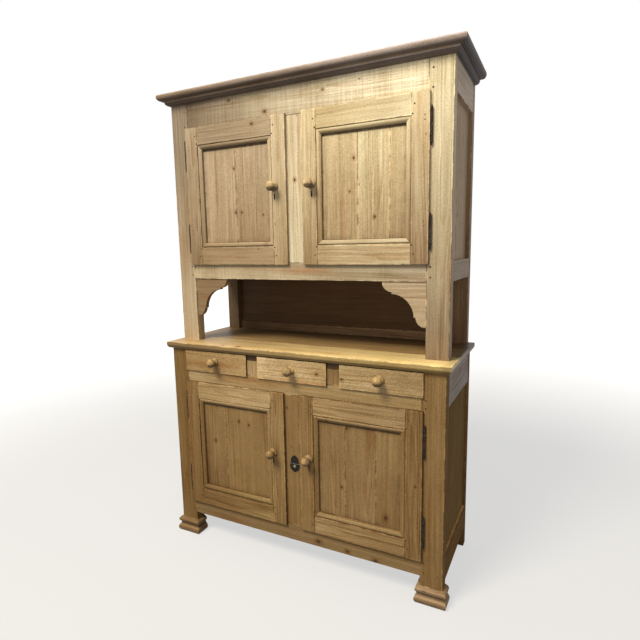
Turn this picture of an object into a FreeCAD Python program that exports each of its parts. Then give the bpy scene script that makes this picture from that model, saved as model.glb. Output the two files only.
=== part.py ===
import FreeCAD, Part
import math
import os

Vector = FreeCAD.Vector

# A two-stage pine housekeeper's cupboard. The base has three drawers over two
# panelled doors, and the hutch above stands on four post legs over an open niche.
# Millimetres, +Z up, the front faces -Y and +X is to the viewer's right. Places are
# worked out from the base's front face, the centre line and the floor, and every
# piece is then moved so that the origin is under the middle of the whole cabinet.

# Whole cabinet
base_width = 1300.0
base_depth = 480.0
hutch_inset = 8.0
hutch_setback = 73.0
counter_top_height = 966.0
overall_height = 2095.0

# Countertop
counter_thickness = 31.0
counter_overhang = 20.0
counter_top_radius = 4.0
counter_under_radius = 18.0
counter_joint_shares = [0.34, 0.68]

# Members of the base, and the joinery that both stages share
base_post_width = 90.0
base_post_thickness = 50.0
base_back_post_width = 65.0
base_back_post_thickness = 40.0
front_member_thickness = 32.0
back_rail_thickness = 25.0
muntin_width = 90.0
tenon_length = 30.0
tenon_thickness = 10.0
tenon_shoulder = 7.0
groove_depth = 8.0
board_thickness = 12.0
peg_radius = 3.6
peg_length = 29.0
peg_proud = 0.6
peg_set_in = 15.0
peg_edge = 17.0
ground_gap = 110.0
base_bottom_rail_height = 75.0
drawer_rail_height = 66.0
drawer_opening_height = 67.0
top_rail_height = 25.0
base_back_rail_height = 70.0
runner_rail_height = 40.0

# Sides of the base
base_side_rail_thickness = 25.0
base_side_recess = 9.0
base_side_top_rail_height = 140.0
base_side_bottom_rail_height = 117.0
base_side_ground_gap = 88.0

# Members of the hutch
hutch_post_width = 90.0
hutch_post_thickness = 45.0
hutch_back_post_width = 65.0
hutch_back_post_thickness = 45.0
niche_height = 296.0
hutch_bottom_rail_height = 73.0
frieze_height = 148.0
niche_back_rail_height = 40.0
hutch_back_top_rail_height = 75.0
hutch_side_rail_thickness = 42.0
hutch_side_recess = 16.0
hutch_side_top_rail_height = 145.0
hutch_side_bottom_rail_height = 78.0
top_board_thickness = 12.0
cornice_lip = 3.0
side_board_count = 3
back_board_count = 6
top_board_count = 3

# Floors and shelves
floor_thickness = 15.0
shelf_thickness = 18.0
cleat_height = 20.0
cleat_width = 20.0
shelf_end_gap = 2.0
shelf_front_gap = 2.0
base_shelf_share = 0.5
hutch_shelf_shares = [0.345, 0.675]
floor_joint_shares = [0.35, 0.7]

# Doors
door_thickness = 27.0
door_lip = 12.0
door_overlap = 8.0
door_clearance = 3.0
stile_flat = 67.0
door_rail_flat = 79.0
door_moulding_width = 20.0
door_moulding_quirk = 2.5
door_moulding_fillet = 6.0
door_panel_thickness = 8.0
door_panel_set_back = 12.0
door_groove_depth = 10.0
door_tenon_length = 44.0
door_tenon_edge = 22.0
door_tenon_shoulder = 8.0
door_peg_radius = 3.2
door_peg_set_in = 11.0
door_peg_drift = 7.0
door_peg_outer_share = 0.5
door_peg_inner_share = 0.93
door_swing_clearance = 0.3
upper_left_shares = [0.5]
upper_right_shares = [0.44, 0.8]
lower_left_shares = [0.65]
lower_right_shares = [0.34, 0.7]

# Fiche hinges: a barrel of two knuckles, leaves let into door and post
hinge_radius = 4.4
hinge_standoff = 6.2
hinge_door_gap = 5.2
hinge_knuckle = 59.0
hinge_finial = 10.0
hinge_finial_neck_radius = 2.1
hinge_finial_radius = 3.5
hinge_split = 0.4
hinge_pin_radius = 2.2
hinge_pin_length = 34.0
hinge_pin_clearance = 0.05
hinge_leaf_thickness = 2.0
hinge_leaf_height = 46.0
hinge_leaf_reach = 30.0
hinge_end_share = 0.196
hinge_nail_radius = 1.3
hinge_nail_head_radius = 2.4
hinge_nail_head = 1.0
hinge_nail_set_in = 18.0
hinge_nail_spacing = 16.0

# Turned knobs
knob_projection = 49.0
knob_rose_radius = 19.5
knob_rose_thickness = 7.0
knob_neck_radius = 11.0
knob_head_radius = 20.5
knob_head_back = 21.5
knob_head_shoulder = 38.0
knob_spigot_radius = 6.0
knob_spigot_length = 20.0
knob_rim = 1.5

# Locks behind the keyholes
lock_width = 66.0
lock_height = 76.0
lock_thickness = 12.0
lock_wall = 3.0
lock_back_wall = 2.0
lock_key_drop = 8.0
bolt_length = 40.0
bolt_height = 14.0
bolt_thickness = 6.0
bolt_clearance = 0.3
bolt_throw = 9.0
bolt_mortise_spare = 3.0
keyhole_radius = 3.0
keyhole_slot_width = 3.2
keyhole_height = 20.0
left_lock_set_in = 57.0
right_lock_set_in = 45.0
hutch_knob_share = 0.532
base_knob_share = 0.549
knob_above_keyhole = 41.0

# Drawers
middle_drawer_opening = 320.0
divider_width = 73.0
drawer_lip = 8.0
drawer_overlap = 8.0
drawer_front_thickness = 22.0
drawer_top_gap = 2.0
drawer_fit = 2.0
drawer_side_thickness = 12.0
drawer_side_height = 60.0
drawer_back_space = 41.0
drawer_bottom_thickness = 7.0
drawer_bottom_rise = 6.0
drawer_bottom_groove = 5.0
drawer_tail_length = 11.0
drawer_tail_count = 2
drawer_tail_root_share = 0.5
drawer_tail_tip_share = 0.7
drawer_knob_above_middle = 12.0
runner_thickness = 20.0
runner_shelf = 20.0
guide_width = 20.0
guide_height = 20.0
guide_gap = 1.0
kicker_gap = 2.0

# Scalloped brackets in the niche's front corners
bracket_reach = 176.0
bracket_thickness = 22.0
bracket_recess = 5.0
bracket_lobe_start = 12.0
bracket_lobe_depth = 42.0
bracket_lobe_reach = 138.0
bracket_lobe_bulge = 6.0
bracket_step = 7.0
bracket_cove_toe = 50.0

# Cornice, named by its distance from the hutch's face and by its height in the moulding
cornice_height = 49.0
cornice_projection = 46.0
cornice_foot = 4.0
cornice_foot_rise = 3.0
cornice_bead_reach = 20.5
cornice_bead_bulge = 17.5
cornice_bead_mid = 9.0
cornice_bead_top = 17.0
cornice_step_reach = 28.0
cornice_step_height = 21.0
cornice_nose_height = 37.0
cornice_nose_bulge = 42.0
cornice_nose_mid = 27.0
cornice_top_radius = 6.0
cornice_back_set_in = 12.0

# Moulded front feet
foot_height = 71.0
foot_base_reach = 13.0
foot_torus_reach = 19.0
foot_torus_mid = 15.0
foot_torus_top = 30.0
foot_scotia_reach = 11.5
foot_scotia_low = 32.0
foot_scotia_depth = 7.5
foot_scotia_mid = 39.0
foot_scotia_top = 46.0
foot_ring_reach = 16.0
foot_ring_mid = 56.0
foot_ring_top = 65.0
foot_ring_back = 12.5

# Iron plate on the lower muntin
plate_width = 46.0
plate_height = 76.0
plate_thickness = 1.6
plate_centre_x = 6.0
plate_rise_share = 0.483
plate_waist_share = 0.08
plate_ear_share = 0.04
plate_upper_share = 0.84
plate_lobe_share = 0.74
plate_tip_share = 0.3
plate_rib_radius = 2.0
bush_radius = 5.0
bush_thickness = 1.8
bush_hole_radius = 2.0

# Worked out from the sizes above
cut_overrun = 5.0
base_half = base_width / 2
hutch_half = base_half - hutch_inset
carcass_top = counter_top_height - counter_thickness
hutch_front = hutch_setback
hutch_top = overall_height - cornice_lip - top_board_thickness
back_rail_front = base_depth - back_rail_thickness

base_post_inner = base_half - base_post_width
base_back_post_inner = base_half - base_back_post_width
base_back_post_front = base_depth - base_back_post_thickness
base_bottom_rail_top = ground_gap + base_bottom_rail_height
drawer_opening_high = carcass_top - top_rail_height
drawer_opening_low = drawer_opening_high - drawer_opening_height
base_door_opening_high = drawer_opening_low - drawer_rail_height
plate_centre_height = (base_bottom_rail_top
                       + (base_door_opening_high - base_bottom_rail_top) * plate_rise_share)
divider_inner = middle_drawer_opening / 2
divider_outer = divider_inner + divider_width

hutch_post_inner = hutch_half - hutch_post_width
hutch_back_post_inner = hutch_half - hutch_back_post_width
hutch_post_back = hutch_front + hutch_post_thickness
hutch_back_post_front = base_depth - hutch_back_post_thickness
niche_top = counter_top_height + niche_height
hutch_bottom_rail_top = niche_top + hutch_bottom_rail_height
hutch_door_opening_high = hutch_top - frieze_height

front_reach = max(drawer_lip, door_lip) + knob_projection
origin_shift = Vector(0, -(base_depth - front_reach) / 2, 0)


def block(x_low, x_high, y_low, y_high, z_low, z_high):
    return Part.makeBox(x_high - x_low, y_high - y_low, z_high - z_low, Vector(x_low, y_low, z_low))


def cylinder(radius, length, start, direction):
    return Part.makeCylinder(radius, length, start, direction)


def mirrored(shapes):
    return [shape.mirror(Vector(0, 0, 0), Vector(1, 0, 0)) for shape in shapes]


def both_sides(shapes):
    return shapes + mirrored(shapes)


def cut_from(shapes, tools):
    """Take the tools out of every shape and return the solids that are left."""
    left = []
    for shape in shapes:
        near = [tool for tool in tools if tool.BoundBox.intersect(shape.BoundBox)]
        if near:
            shape = shape.cut(near)
        left.extend(shape.Solids)
    return left


def outline_face(steps, place):
    """A face from steps of (u, v) for a line and (u mid, v mid, u, v) for an arc."""
    edges = []
    first = last = place(*steps[0])
    for step in steps[1:]:
        end = place(*step[-2:])
        if len(step) == 4:
            edges.append(Part.Arc(last, place(*step[:2]), end).toShape())
        else:
            edges.append(Part.LineSegment(last, end).toShape())
        last = end
    if last != first:
        edges.append(Part.LineSegment(last, first).toShape())
    return Part.Face(Part.Wire(edges))


def turned(steps, origin, direction):
    """A solid of revolution about direction, from steps of (radius, distance along it)."""
    across = Vector(0, 0, 1) if abs(direction.z) < abs(direction.y) else Vector(1, 0, 0)

    def place(radius, distance):
        return origin + across * radius + direction * distance

    return outline_face(steps, place).revolve(origin, direction, 360)


def boards_between(low, high, shares):
    """Ends of the boards that shares of the whole width divide it into."""
    ends = [low] + [low + (high - low) * share for share in shares] + [high]
    return list(zip(ends[:-1], ends[1:]))


def even_boards(low, high, count):
    return boards_between(low, high, [number / count for number in range(1, count)])


def rail_across(x_low, x_high, y_low, y_high, z_low, z_high):
    """A rail that runs along X, with a tenon on each end."""
    middle = (y_low + y_high) / 2
    tenon = block(x_low - tenon_length, x_high + tenon_length,
                  middle - tenon_thickness / 2, middle + tenon_thickness / 2,
                  z_low + tenon_shoulder, z_high - tenon_shoulder)
    return block(x_low, x_high, y_low, y_high, z_low, z_high).fuse(tenon).removeSplitter().Solids[0]


def rail_along(x_low, x_high, y_low, y_high, z_low, z_high, tenon_reach):
    """A side rail that runs along Y, with a tenon on each end."""
    middle = (x_low + x_high) / 2
    tenon = block(middle - tenon_thickness / 2, middle + tenon_thickness / 2,
                  y_low - tenon_reach, y_high + tenon_reach,
                  z_low + tenon_shoulder, z_high - tenon_shoulder)
    return block(x_low, x_high, y_low, y_high, z_low, z_high).fuse(tenon).removeSplitter().Solids[0]


def muntin_upright(x_low, x_high, y_low, y_high, z_low, z_high, tenon_reach):
    """An upright between two rails, with a tenon at the foot and at the head."""
    middle = (y_low + y_high) / 2
    tenon = block(x_low + tenon_shoulder, x_high - tenon_shoulder,
                  middle - tenon_thickness / 2, middle + tenon_thickness / 2,
                  z_low - tenon_reach, z_high + tenon_reach)
    return block(x_low, x_high, y_low, y_high, z_low, z_high).fuse(tenon).removeSplitter().Solids[0]


def frame_peg(x, front, z):
    return cylinder(peg_radius, peg_length + peg_proud, Vector(x, front - peg_proud, z), Vector(0, 1, 0))


def rail_pegs(post_inner, front, z_low, z_high):
    """Two pegs in each post where a front rail's tenon comes in."""
    x = post_inner + peg_set_in
    pegs = [frame_peg(x, front, z_low + peg_edge), frame_peg(x, front, z_high - peg_edge)]
    return both_sides(pegs)


def plan_prism(corners, z_low, z_high):
    points = [Vector(x, y, z_low) for x, y in corners]
    wire = Part.makePolygon(points + points[:1])
    return Part.Face(wire).extrude(Vector(0, 0, z_high - z_low))


# Countertop: three glued boards with a rounded front and ends
def countertop():
    half = base_half + counter_overhang
    slab = block(-half, half, -counter_overhang, base_depth, carcass_top, counter_top_height)
    for radius, height in ((counter_under_radius, carcass_top),
                           (counter_top_radius, counter_top_height)):
        outer = [edge for edge in slab.Edges
                 if abs(edge.BoundBox.ZMin - height) < cut_overrun / 2
                 and abs(edge.BoundBox.ZMax - height) < cut_overrun / 2
                 and edge.BoundBox.YMin < base_depth - counter_under_radius]
        slab = slab.makeFillet(radius, outer)
    boards = []
    for low, high in boards_between(-counter_overhang, base_depth, counter_joint_shares):
        strip = block(-half - cut_overrun, half + cut_overrun, low, high,
                      carcass_top - cut_overrun, counter_top_height + cut_overrun)
        boards.extend(slab.common(strip).Solids)
    return boards


# Knob: a turned rose, neck and mushroom head, with a spigot glued into the wood
def knob(x, face, z):
    crown_base = knob_head_radius - knob_rim
    crown_rise = knob_projection - knob_head_shoulder
    crown_radius = (crown_base ** 2 + crown_rise ** 2) / (2 * crown_rise)
    half_angle = math.asin(crown_base / crown_radius) / 2
    steps = [(0, -knob_spigot_length),
             (knob_spigot_radius, -knob_spigot_length),
             (knob_spigot_radius, 0),
             (knob_rose_radius - knob_rim, 0),
             (knob_rose_radius, knob_rose_thickness / 2,
              knob_rose_radius - knob_rim, knob_rose_thickness),
             (knob_neck_radius, knob_head_back - knob_rim,
              knob_head_radius - knob_rim, knob_head_back + knob_neck_radius / 2),
             (knob_head_radius, (knob_head_back + knob_head_shoulder + knob_neck_radius / 2) / 2,
              knob_head_radius - knob_rim, knob_head_shoulder),
             (crown_radius * math.sin(half_angle),
              knob_projection - crown_radius * (1 - math.cos(half_angle)),
              0, knob_projection)]
    return turned(steps, Vector(x, face, z), Vector(0, -1, 0))


def knob_spigot_hole(x, face, z):
    return cylinder(knob_spigot_radius, knob_spigot_length, Vector(x, face, z), Vector(0, 1, 0))


# Hinge halves, about an upright axis through the point between the knuckles
def finial_steps(start):
    tip = start + hinge_finial
    neck = start + hinge_finial / 4
    middle = start + hinge_finial * 5 / 8
    return [(hinge_radius, start),
            (hinge_finial_neck_radius, neck),
            (hinge_finial_radius, middle, hinge_finial_radius / 2, tip - hinge_finial_radius / 4),
            (0, tip)]


def door_hinge_half(axis_x, axis_y, z):
    up = Vector(0, 0, 1)
    centre = Vector(axis_x, axis_y, z)
    start = hinge_split / 2
    bore = hinge_pin_radius + hinge_pin_clearance
    steps = [(bore, start), (hinge_radius, start)] + finial_steps(hinge_knuckle)
    steps += [(0, hinge_pin_length + hinge_split), (bore, hinge_pin_length + hinge_split)]
    barrel = turned(steps, centre, up)
    leaf_middle = z + hinge_knuckle / 2
    leaf = block(axis_x - hinge_door_gap - hinge_leaf_reach, axis_x,
                 axis_y - hinge_leaf_thickness / 2, axis_y + hinge_leaf_thickness / 2,
                 leaf_middle - hinge_leaf_height / 2, leaf_middle + hinge_leaf_height / 2)
    hollow = cylinder(bore, hinge_pin_length + hinge_split, centre, up)
    return barrel.fuse(leaf.cut(hollow)).removeSplitter().Solids[0]


def post_hinge_half(axis_x, axis_y, z, post_face):
    down = Vector(0, 0, -1)
    centre = Vector(axis_x, axis_y, z)
    steps = [(0, -hinge_pin_length), (hinge_pin_radius, -hinge_pin_length),
             (hinge_pin_radius, hinge_split / 2), (hinge_radius, hinge_split / 2)]
    barrel = turned(steps + finial_steps(hinge_knuckle), centre, down)
    leaf_middle = z - hinge_knuckle / 2
    leaf = block(axis_x - hinge_leaf_thickness / 2, axis_x + hinge_leaf_thickness / 2,
                 axis_y, post_face + hinge_leaf_reach,
                 leaf_middle - hinge_leaf_height / 2, leaf_middle + hinge_leaf_height / 2)
    return barrel.fuse(leaf).removeSplitter().Solids[0]


def leaf_nails(x, face, z):
    """Two nails that go through the stile's face into the leaf behind it."""
    nails = []
    for side in (-1, 1):
        height = z + side * hinge_nail_spacing / 2
        head = cylinder(hinge_nail_head_radius, hinge_nail_head,
                        Vector(x, face - hinge_nail_head / 2, height), Vector(0, 1, 0))
        shank = cylinder(hinge_nail_radius, door_lip, Vector(x, face, height), Vector(0, 1, 0))
        nails.append(head.fuse(shank).removeSplitter().Solids[0])
    return nails


# Doors: made as the right-hand door of a pair, and mirrored for the left
def member_face(flat, place):
    """Section of a stile or rail by distance from the door's edge and depth from its face."""
    sight = flat + door_moulding_width
    panel_back = door_panel_set_back + door_panel_thickness
    foot = door_panel_set_back - door_moulding_fillet
    middle = flat + door_moulding_width * math.sin(math.radians(45))
    mid_depth = foot - (foot - door_moulding_quirk) * math.cos(math.radians(45))
    inset = door_overlap + door_clearance
    steps = [(0, 0), (flat, 0), (flat, door_moulding_quirk),
             (middle, mid_depth, sight, foot),
             (sight, door_panel_set_back),
             (sight - door_groove_depth, door_panel_set_back),
             (sight - door_groove_depth, panel_back), (sight, panel_back),
             (sight, door_thickness), (inset, door_thickness),
             (inset, door_lip - door_swing_clearance), (0, door_lip - door_swing_clearance)]
    return outline_face(steps, place)


def keyhole_cut(x, face, z, depth):
    """Round eye with a narrower slot under it, cut from the face inwards."""
    eye = cylinder(keyhole_radius, depth, Vector(x, face, z + keyhole_height / 2 - keyhole_radius),
                   Vector(0, 1, 0))
    slot = block(x - keyhole_slot_width / 2, x + keyhole_slot_width / 2, face, face + depth,
                 z - keyhole_height / 2, z + keyhole_height / 2 - keyhole_radius)
    return eye.fuse(slot)


def door_pegs(x_low, x_high, z_low, z_high, face):
    """Two pegs at each corner, through the stile and the rail's tenon."""
    depth = door_panel_set_back + door_panel_thickness
    pegs = []
    for share, drift in ((door_peg_outer_share, 0), (door_peg_inner_share, door_peg_drift)):
        for z in (z_low + door_rail_flat * share, z_high - door_rail_flat * share):
            for x in (x_low + stile_flat - door_peg_set_in + drift,
                      x_high - stile_flat + door_peg_set_in - drift):
                pegs.append(cylinder(door_peg_radius, depth + peg_proud,
                                     Vector(x, face - peg_proud, z), Vector(0, 1, 0)))
    return pegs


def door(opening, front, joint_shares, knob_share, lock_set_in):
    """Pieces of a right-hand door over an opening of (x low, x high, z low, z high)."""
    x_low, x_high = opening[0] - door_overlap, opening[1] + door_overlap
    z_low, z_high = opening[2] - door_overlap, opening[3] + door_overlap
    face = front - door_lip
    back = face + door_thickness
    inset = door_overlap + door_clearance
    sight_x = stile_flat + door_moulding_width
    sight_z = door_rail_flat + door_moulding_width
    panel_front = face + door_panel_set_back
    panel_back = panel_front + door_panel_thickness

    def stile(edge, inward):
        def place(across, depth):
            return Vector(edge + inward * across, face + depth, z_low)
        piece = member_face(stile_flat, place).extrude(Vector(0, 0, z_high - z_low))
        far = edge + inward * (sight_x + cut_overrun)
        shoulder = edge + inward * stile_flat
        ends = []
        for z_end, way in ((z_low, 1), (z_high, -1)):
            corners = [(shoulder, z_end + way * door_rail_flat),
                       (far, z_end + way * (sight_z + cut_overrun)),
                       (far, z_end - way * cut_overrun),
                       (shoulder, z_end - way * cut_overrun)]
            points = [Vector(x, face - cut_overrun, z) for x, z in corners]
            wedge = Part.Face(Part.makePolygon(points + points[:1]))
            ends.append(wedge.extrude(Vector(0, door_thickness + 2 * cut_overrun, 0)))
            rebate_start, rebate_end = sorted((z_end - way * cut_overrun, z_end + way * inset))
            ends.append(block(x_low - cut_overrun, x_high + cut_overrun,
                              front - door_swing_clearance, back + cut_overrun,
                              rebate_start, rebate_end))
        return piece.cut(ends)

    def rail(edge, inward):
        def place(across, depth):
            return Vector(x_low + stile_flat, face + depth, edge + inward * across)
        length = x_high - x_low - 2 * stile_flat
        piece = member_face(door_rail_flat, place).extrude(Vector(length, 0, 0))
        ends = []
        for x_end, way in ((x_low + stile_flat, 1), (x_high - stile_flat, -1)):
            spread = door_moulding_width + cut_overrun
            corners = [(x_end, edge + inward * door_rail_flat),
                       (x_end + way * spread, edge + inward * (door_rail_flat + spread)),
                       (x_end - way * cut_overrun, edge + inward * (door_rail_flat + spread)),
                       (x_end - way * cut_overrun, edge + inward * door_rail_flat)]
            points = [Vector(x, face - cut_overrun, z) for x, z in corners]
            wedge = Part.Face(Part.makePolygon(points + points[:1]))
            ends.append(wedge.extrude(Vector(0, door_thickness + 2 * cut_overrun, 0)))
        piece = piece.cut(ends)
        tenon_low, tenon_high = sorted((edge + inward * door_tenon_edge,
                                        edge + inward * (door_rail_flat - door_tenon_shoulder)))
        tenon = block(x_low + stile_flat - door_tenon_length, x_high - stile_flat + door_tenon_length,
                      panel_front, panel_back, tenon_low, tenon_high)
        return piece.fuse(tenon).removeSplitter().Solids[0]

    panel_x = (x_low + sight_x - door_groove_depth, x_high - sight_x + door_groove_depth)
    panel_z = (z_low + sight_z - door_groove_depth, z_high - sight_z + door_groove_depth)
    panel = [block(low, high, panel_front, panel_back, panel_z[0], panel_z[1])
             for low, high in boards_between(panel_x[0], panel_x[1], joint_shares)]

    knob_x = x_low + lock_set_in
    knob_height = z_low + (z_high - z_low) * knob_share
    key_z = knob_height - knob_above_keyhole
    pegs = door_pegs(x_low, x_high, z_low, z_high, face)
    rails = cut_from([rail(z_low, 1), rail(z_high, -1)], pegs)

    axis_x = x_high + hinge_door_gap
    axis_y = front - hinge_standoff
    from_end = (z_high - z_low) * hinge_end_share
    hinge_heights = (z_low + from_end, z_high - from_end)
    door_halves = [door_hinge_half(axis_x, axis_y, z) for z in hinge_heights]
    post_halves = [post_hinge_half(axis_x, axis_y, z, front) for z in hinge_heights]
    nails = []
    for z in hinge_heights:
        nails.extend(leaf_nails(x_high - hinge_nail_set_in, face, z + hinge_knuckle / 2))
    door_halves = cut_from(door_halves, nails)

    cuts = [knob_spigot_hole(knob_x, face, knob_height),
            keyhole_cut(knob_x, face - cut_overrun, key_z, door_thickness + 2 * cut_overrun)]
    stiles = cut_from([stile(x_low, 1), stile(x_high, -1)], rails + pegs + cuts + door_halves + nails)

    lock_x = x_low + inset
    key_middle = key_z + lock_key_drop
    case = block(lock_x, lock_x + lock_width, back, back + lock_thickness,
                 key_middle - lock_height / 2, key_middle + lock_height / 2)
    bolt_y = back + lock_thickness - lock_back_wall - bolt_clearance - bolt_thickness
    bolt_z = key_middle + lock_height / 2 - lock_wall - bolt_clearance - bolt_height
    bolt = block(lock_x, lock_x + bolt_length, bolt_y, bolt_y + bolt_thickness,
                 bolt_z, bolt_z + bolt_height)
    channel = block(lock_x - cut_overrun, lock_x + bolt_length + bolt_clearance,
                    bolt_y - bolt_clearance, bolt_y + bolt_thickness + bolt_clearance,
                    bolt_z - bolt_clearance, bolt_z + bolt_height + bolt_clearance)
    eye_depth = bolt_y - bolt_clearance - back
    case = case.cut([channel, keyhole_cut(knob_x, back, key_z, eye_depth)])
    reach = bolt_throw + bolt_mortise_spare
    mortise = block(lock_x - reach, lock_x + cut_overrun,
                    bolt_y - bolt_clearance, bolt_y + bolt_thickness + bolt_clearance,
                    bolt_z - bolt_clearance, bolt_z + bolt_height + bolt_clearance)
    return {"frame": stiles + rails + pegs, "panel": panel,
            "knob": [knob(knob_x, face, knob_height)],
            "hinge_halves": door_halves + nails, "lock": case.Solids, "lock_bolt": [bolt],
            "post_halves": post_halves, "mortise": [mortise]}


# Drawers: a lipped front on a dovetailed box
def drawer(x_low, x_high):
    z_low, z_high = drawer_opening_low, drawer_opening_high
    plate = block(x_low - drawer_overlap, x_high + drawer_overlap, -drawer_lip, 0,
                  z_low - drawer_overlap, carcass_top - drawer_top_gap)
    inner_back = drawer_front_thickness - drawer_lip
    side_low = z_low + drawer_fit / 2
    side_high = side_low + drawer_side_height
    plug = block(x_low + drawer_fit, x_high - drawer_fit, 0, inner_back,
                 side_low, z_high - drawer_fit)
    knob_x = (x_low + x_high) / 2
    knob_z = (z_low + z_high) / 2 + drawer_knob_above_middle
    front = plate.fuse(plug).removeSplitter()

    outer_left, outer_right = x_low + drawer_fit, x_high - drawer_fit
    back_face = back_rail_front - drawer_back_space
    side_boxes = []
    for edge, inward in ((outer_left, 1), (outer_right, -1)):
        near, far = sorted((edge, edge + inward * drawer_side_thickness))
        side = block(near, far, inner_back, back_face, side_low, side_high)
        pitch = drawer_side_height / drawer_tail_count
        for number in range(drawer_tail_count):
            middle = side_low + pitch * (number + 1 / 2)
            root, tip = pitch * drawer_tail_root_share / 2, pitch * drawer_tail_tip_share / 2
            corners = [(inner_back, middle - root), (inner_back - drawer_tail_length, middle - tip),
                       (inner_back - drawer_tail_length, middle + tip), (inner_back, middle + root)]
            points = [Vector(near, y, z) for y, z in corners]
            tail = Part.Face(Part.makePolygon(points + points[:1]))
            side = side.fuse(tail.extrude(Vector(drawer_side_thickness, 0, 0)))
        side_boxes.append(side.removeSplitter())
    inside_left, inside_right = outer_left + drawer_side_thickness, outer_right - drawer_side_thickness
    bottom_low = side_low + drawer_bottom_rise
    bottom = block(inside_left - drawer_bottom_groove, inside_right + drawer_bottom_groove,
                   inner_back - drawer_bottom_groove, back_face,
                   bottom_low, bottom_low + drawer_bottom_thickness)
    back = block(inside_left, inside_right, back_face - drawer_side_thickness, back_face,
                 bottom_low + drawer_bottom_thickness, side_high)
    sides = cut_from(side_boxes, [bottom])
    hole = knob_spigot_hole(knob_x, -drawer_lip, knob_z)
    return {"front": cut_from([front], sides + [bottom, hole]), "box": sides + [back, bottom],
            "knob": [knob(knob_x, -drawer_lip, knob_z)]}


def drawer_runners():
    """Runners, side guides and kickers at each end and at each divider."""
    rear = back_rail_front
    low, high = drawer_opening_low, drawer_opening_high
    pieces = []
    for inner, outer, guide in (
            (divider_inner - runner_shelf, divider_outer + runner_shelf,
             (divider_inner + guide_gap, divider_outer - guide_gap)),
            (base_post_inner - runner_shelf, base_post_inner + guide_gap + guide_width,
             (base_post_inner + guide_gap, base_post_inner + guide_gap + guide_width))):
        pieces.append(block(inner, outer, front_member_thickness, rear, low - runner_thickness, low))
        pieces.append(block(guide[0], guide[1], base_post_thickness, rear, low, low + guide_height))
        pieces.append(block(inner, outer, front_member_thickness, rear, high + kicker_gap, carcass_top))
    return both_sides(pieces)


# Frame-and-panel sides: boards in grooves between the posts and rails
def side_boards(half, recess, y_low, y_high, z_low, z_high):
    outer = half - recess
    boards = [block(outer - board_thickness, outer, low, high, z_low - groove_depth, z_high + groove_depth)
              for low, high in even_boards(y_low - groove_depth, y_high + groove_depth, side_board_count)]
    return both_sides(boards)


# Scalloped brackets: lobe, step, cove, step and lobe, alike about the diagonal
def niche_bracket():
    corner_x, corner_z = hutch_post_inner, niche_top
    front = hutch_front + bracket_recess
    lobe = math.sin(math.radians(45))
    middle_reach = bracket_lobe_reach + (bracket_reach - bracket_lobe_reach) * lobe + bracket_lobe_bulge / 2
    middle_depth = bracket_lobe_depth - (bracket_lobe_depth - bracket_lobe_start) * (1 - lobe)
    cove = bracket_lobe_reach - bracket_cove_toe
    cove_middle = bracket_cove_toe + cove * (1 - lobe)
    deep = bracket_lobe_depth + bracket_step
    steps = [(0, 0), (bracket_reach, 0), (bracket_reach, bracket_lobe_start),
             (middle_reach - bracket_lobe_bulge, middle_depth, bracket_lobe_reach, bracket_lobe_depth),
             (bracket_lobe_reach, deep),
             (cove_middle, cove_middle, deep, bracket_lobe_reach),
             (bracket_lobe_depth, bracket_lobe_reach),
             (middle_depth, middle_reach - bracket_lobe_bulge, bracket_lobe_start, bracket_reach),
             (0, bracket_reach)]

    def place(reach, drop):
        return Vector(corner_x - reach, front, corner_z - drop)

    return outline_face(steps, place).extrude(Vector(0, bracket_thickness, 0))


# Cornice: one profile on the front and both sides, mitred at the front corners
def cornice_steps():
    low = overall_height - cornice_height
    return [(0, low), (cornice_foot, low + cornice_foot_rise),
            (cornice_bead_bulge, low + cornice_bead_mid, cornice_bead_reach, low + cornice_bead_top),
            (cornice_bead_reach, low + cornice_step_height), (cornice_step_reach, low + cornice_step_height),
            (cornice_nose_bulge, low + cornice_nose_mid, cornice_projection, low + cornice_nose_height),
            (cornice_projection, overall_height - cornice_top_radius),
            (cornice_projection - cornice_top_radius, overall_height), (0, overall_height)]


def cornice():
    steps = cornice_steps()
    reach = cornice_projection + cut_overrun
    low, high = overall_height - cornice_height - cut_overrun, overall_height + cut_overrun
    end = hutch_half + reach

    def place_front(out, height):
        return Vector(-end, hutch_front - out, height)

    def place_side(out, height):
        return Vector(hutch_half + out, hutch_front - reach, height)

    front = outline_face(steps, place_front).extrude(Vector(2 * end, 0, 0))
    length = base_depth - cornice_back_set_in - hutch_front + reach
    side = outline_face(steps, place_side).extrude(Vector(0, length, 0))
    corner = (hutch_half, hutch_front)
    far = (hutch_half + reach, hutch_front - reach)
    outside = plan_prism([corner, far, (far[0], corner[1])], low, high)
    inside = plan_prism([corner, far, (corner[0], far[1])], low, high)
    front = front.cut(both_sides([outside]))
    return front.Solids + both_sides(side.cut(inside).Solids)


# Feet: a moulding of torus, scotia and ring, mitred round three faces of the post
def foot_steps():
    return [(0, 0), (foot_base_reach, 0),
            (foot_torus_reach, foot_torus_mid, foot_base_reach, foot_torus_top),
            (foot_scotia_reach, foot_scotia_low),
            (foot_scotia_depth, foot_scotia_mid, foot_scotia_reach, foot_scotia_top),
            (foot_ring_reach, foot_ring_mid, foot_ring_back, foot_ring_top),
            (0, foot_height)]


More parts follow.
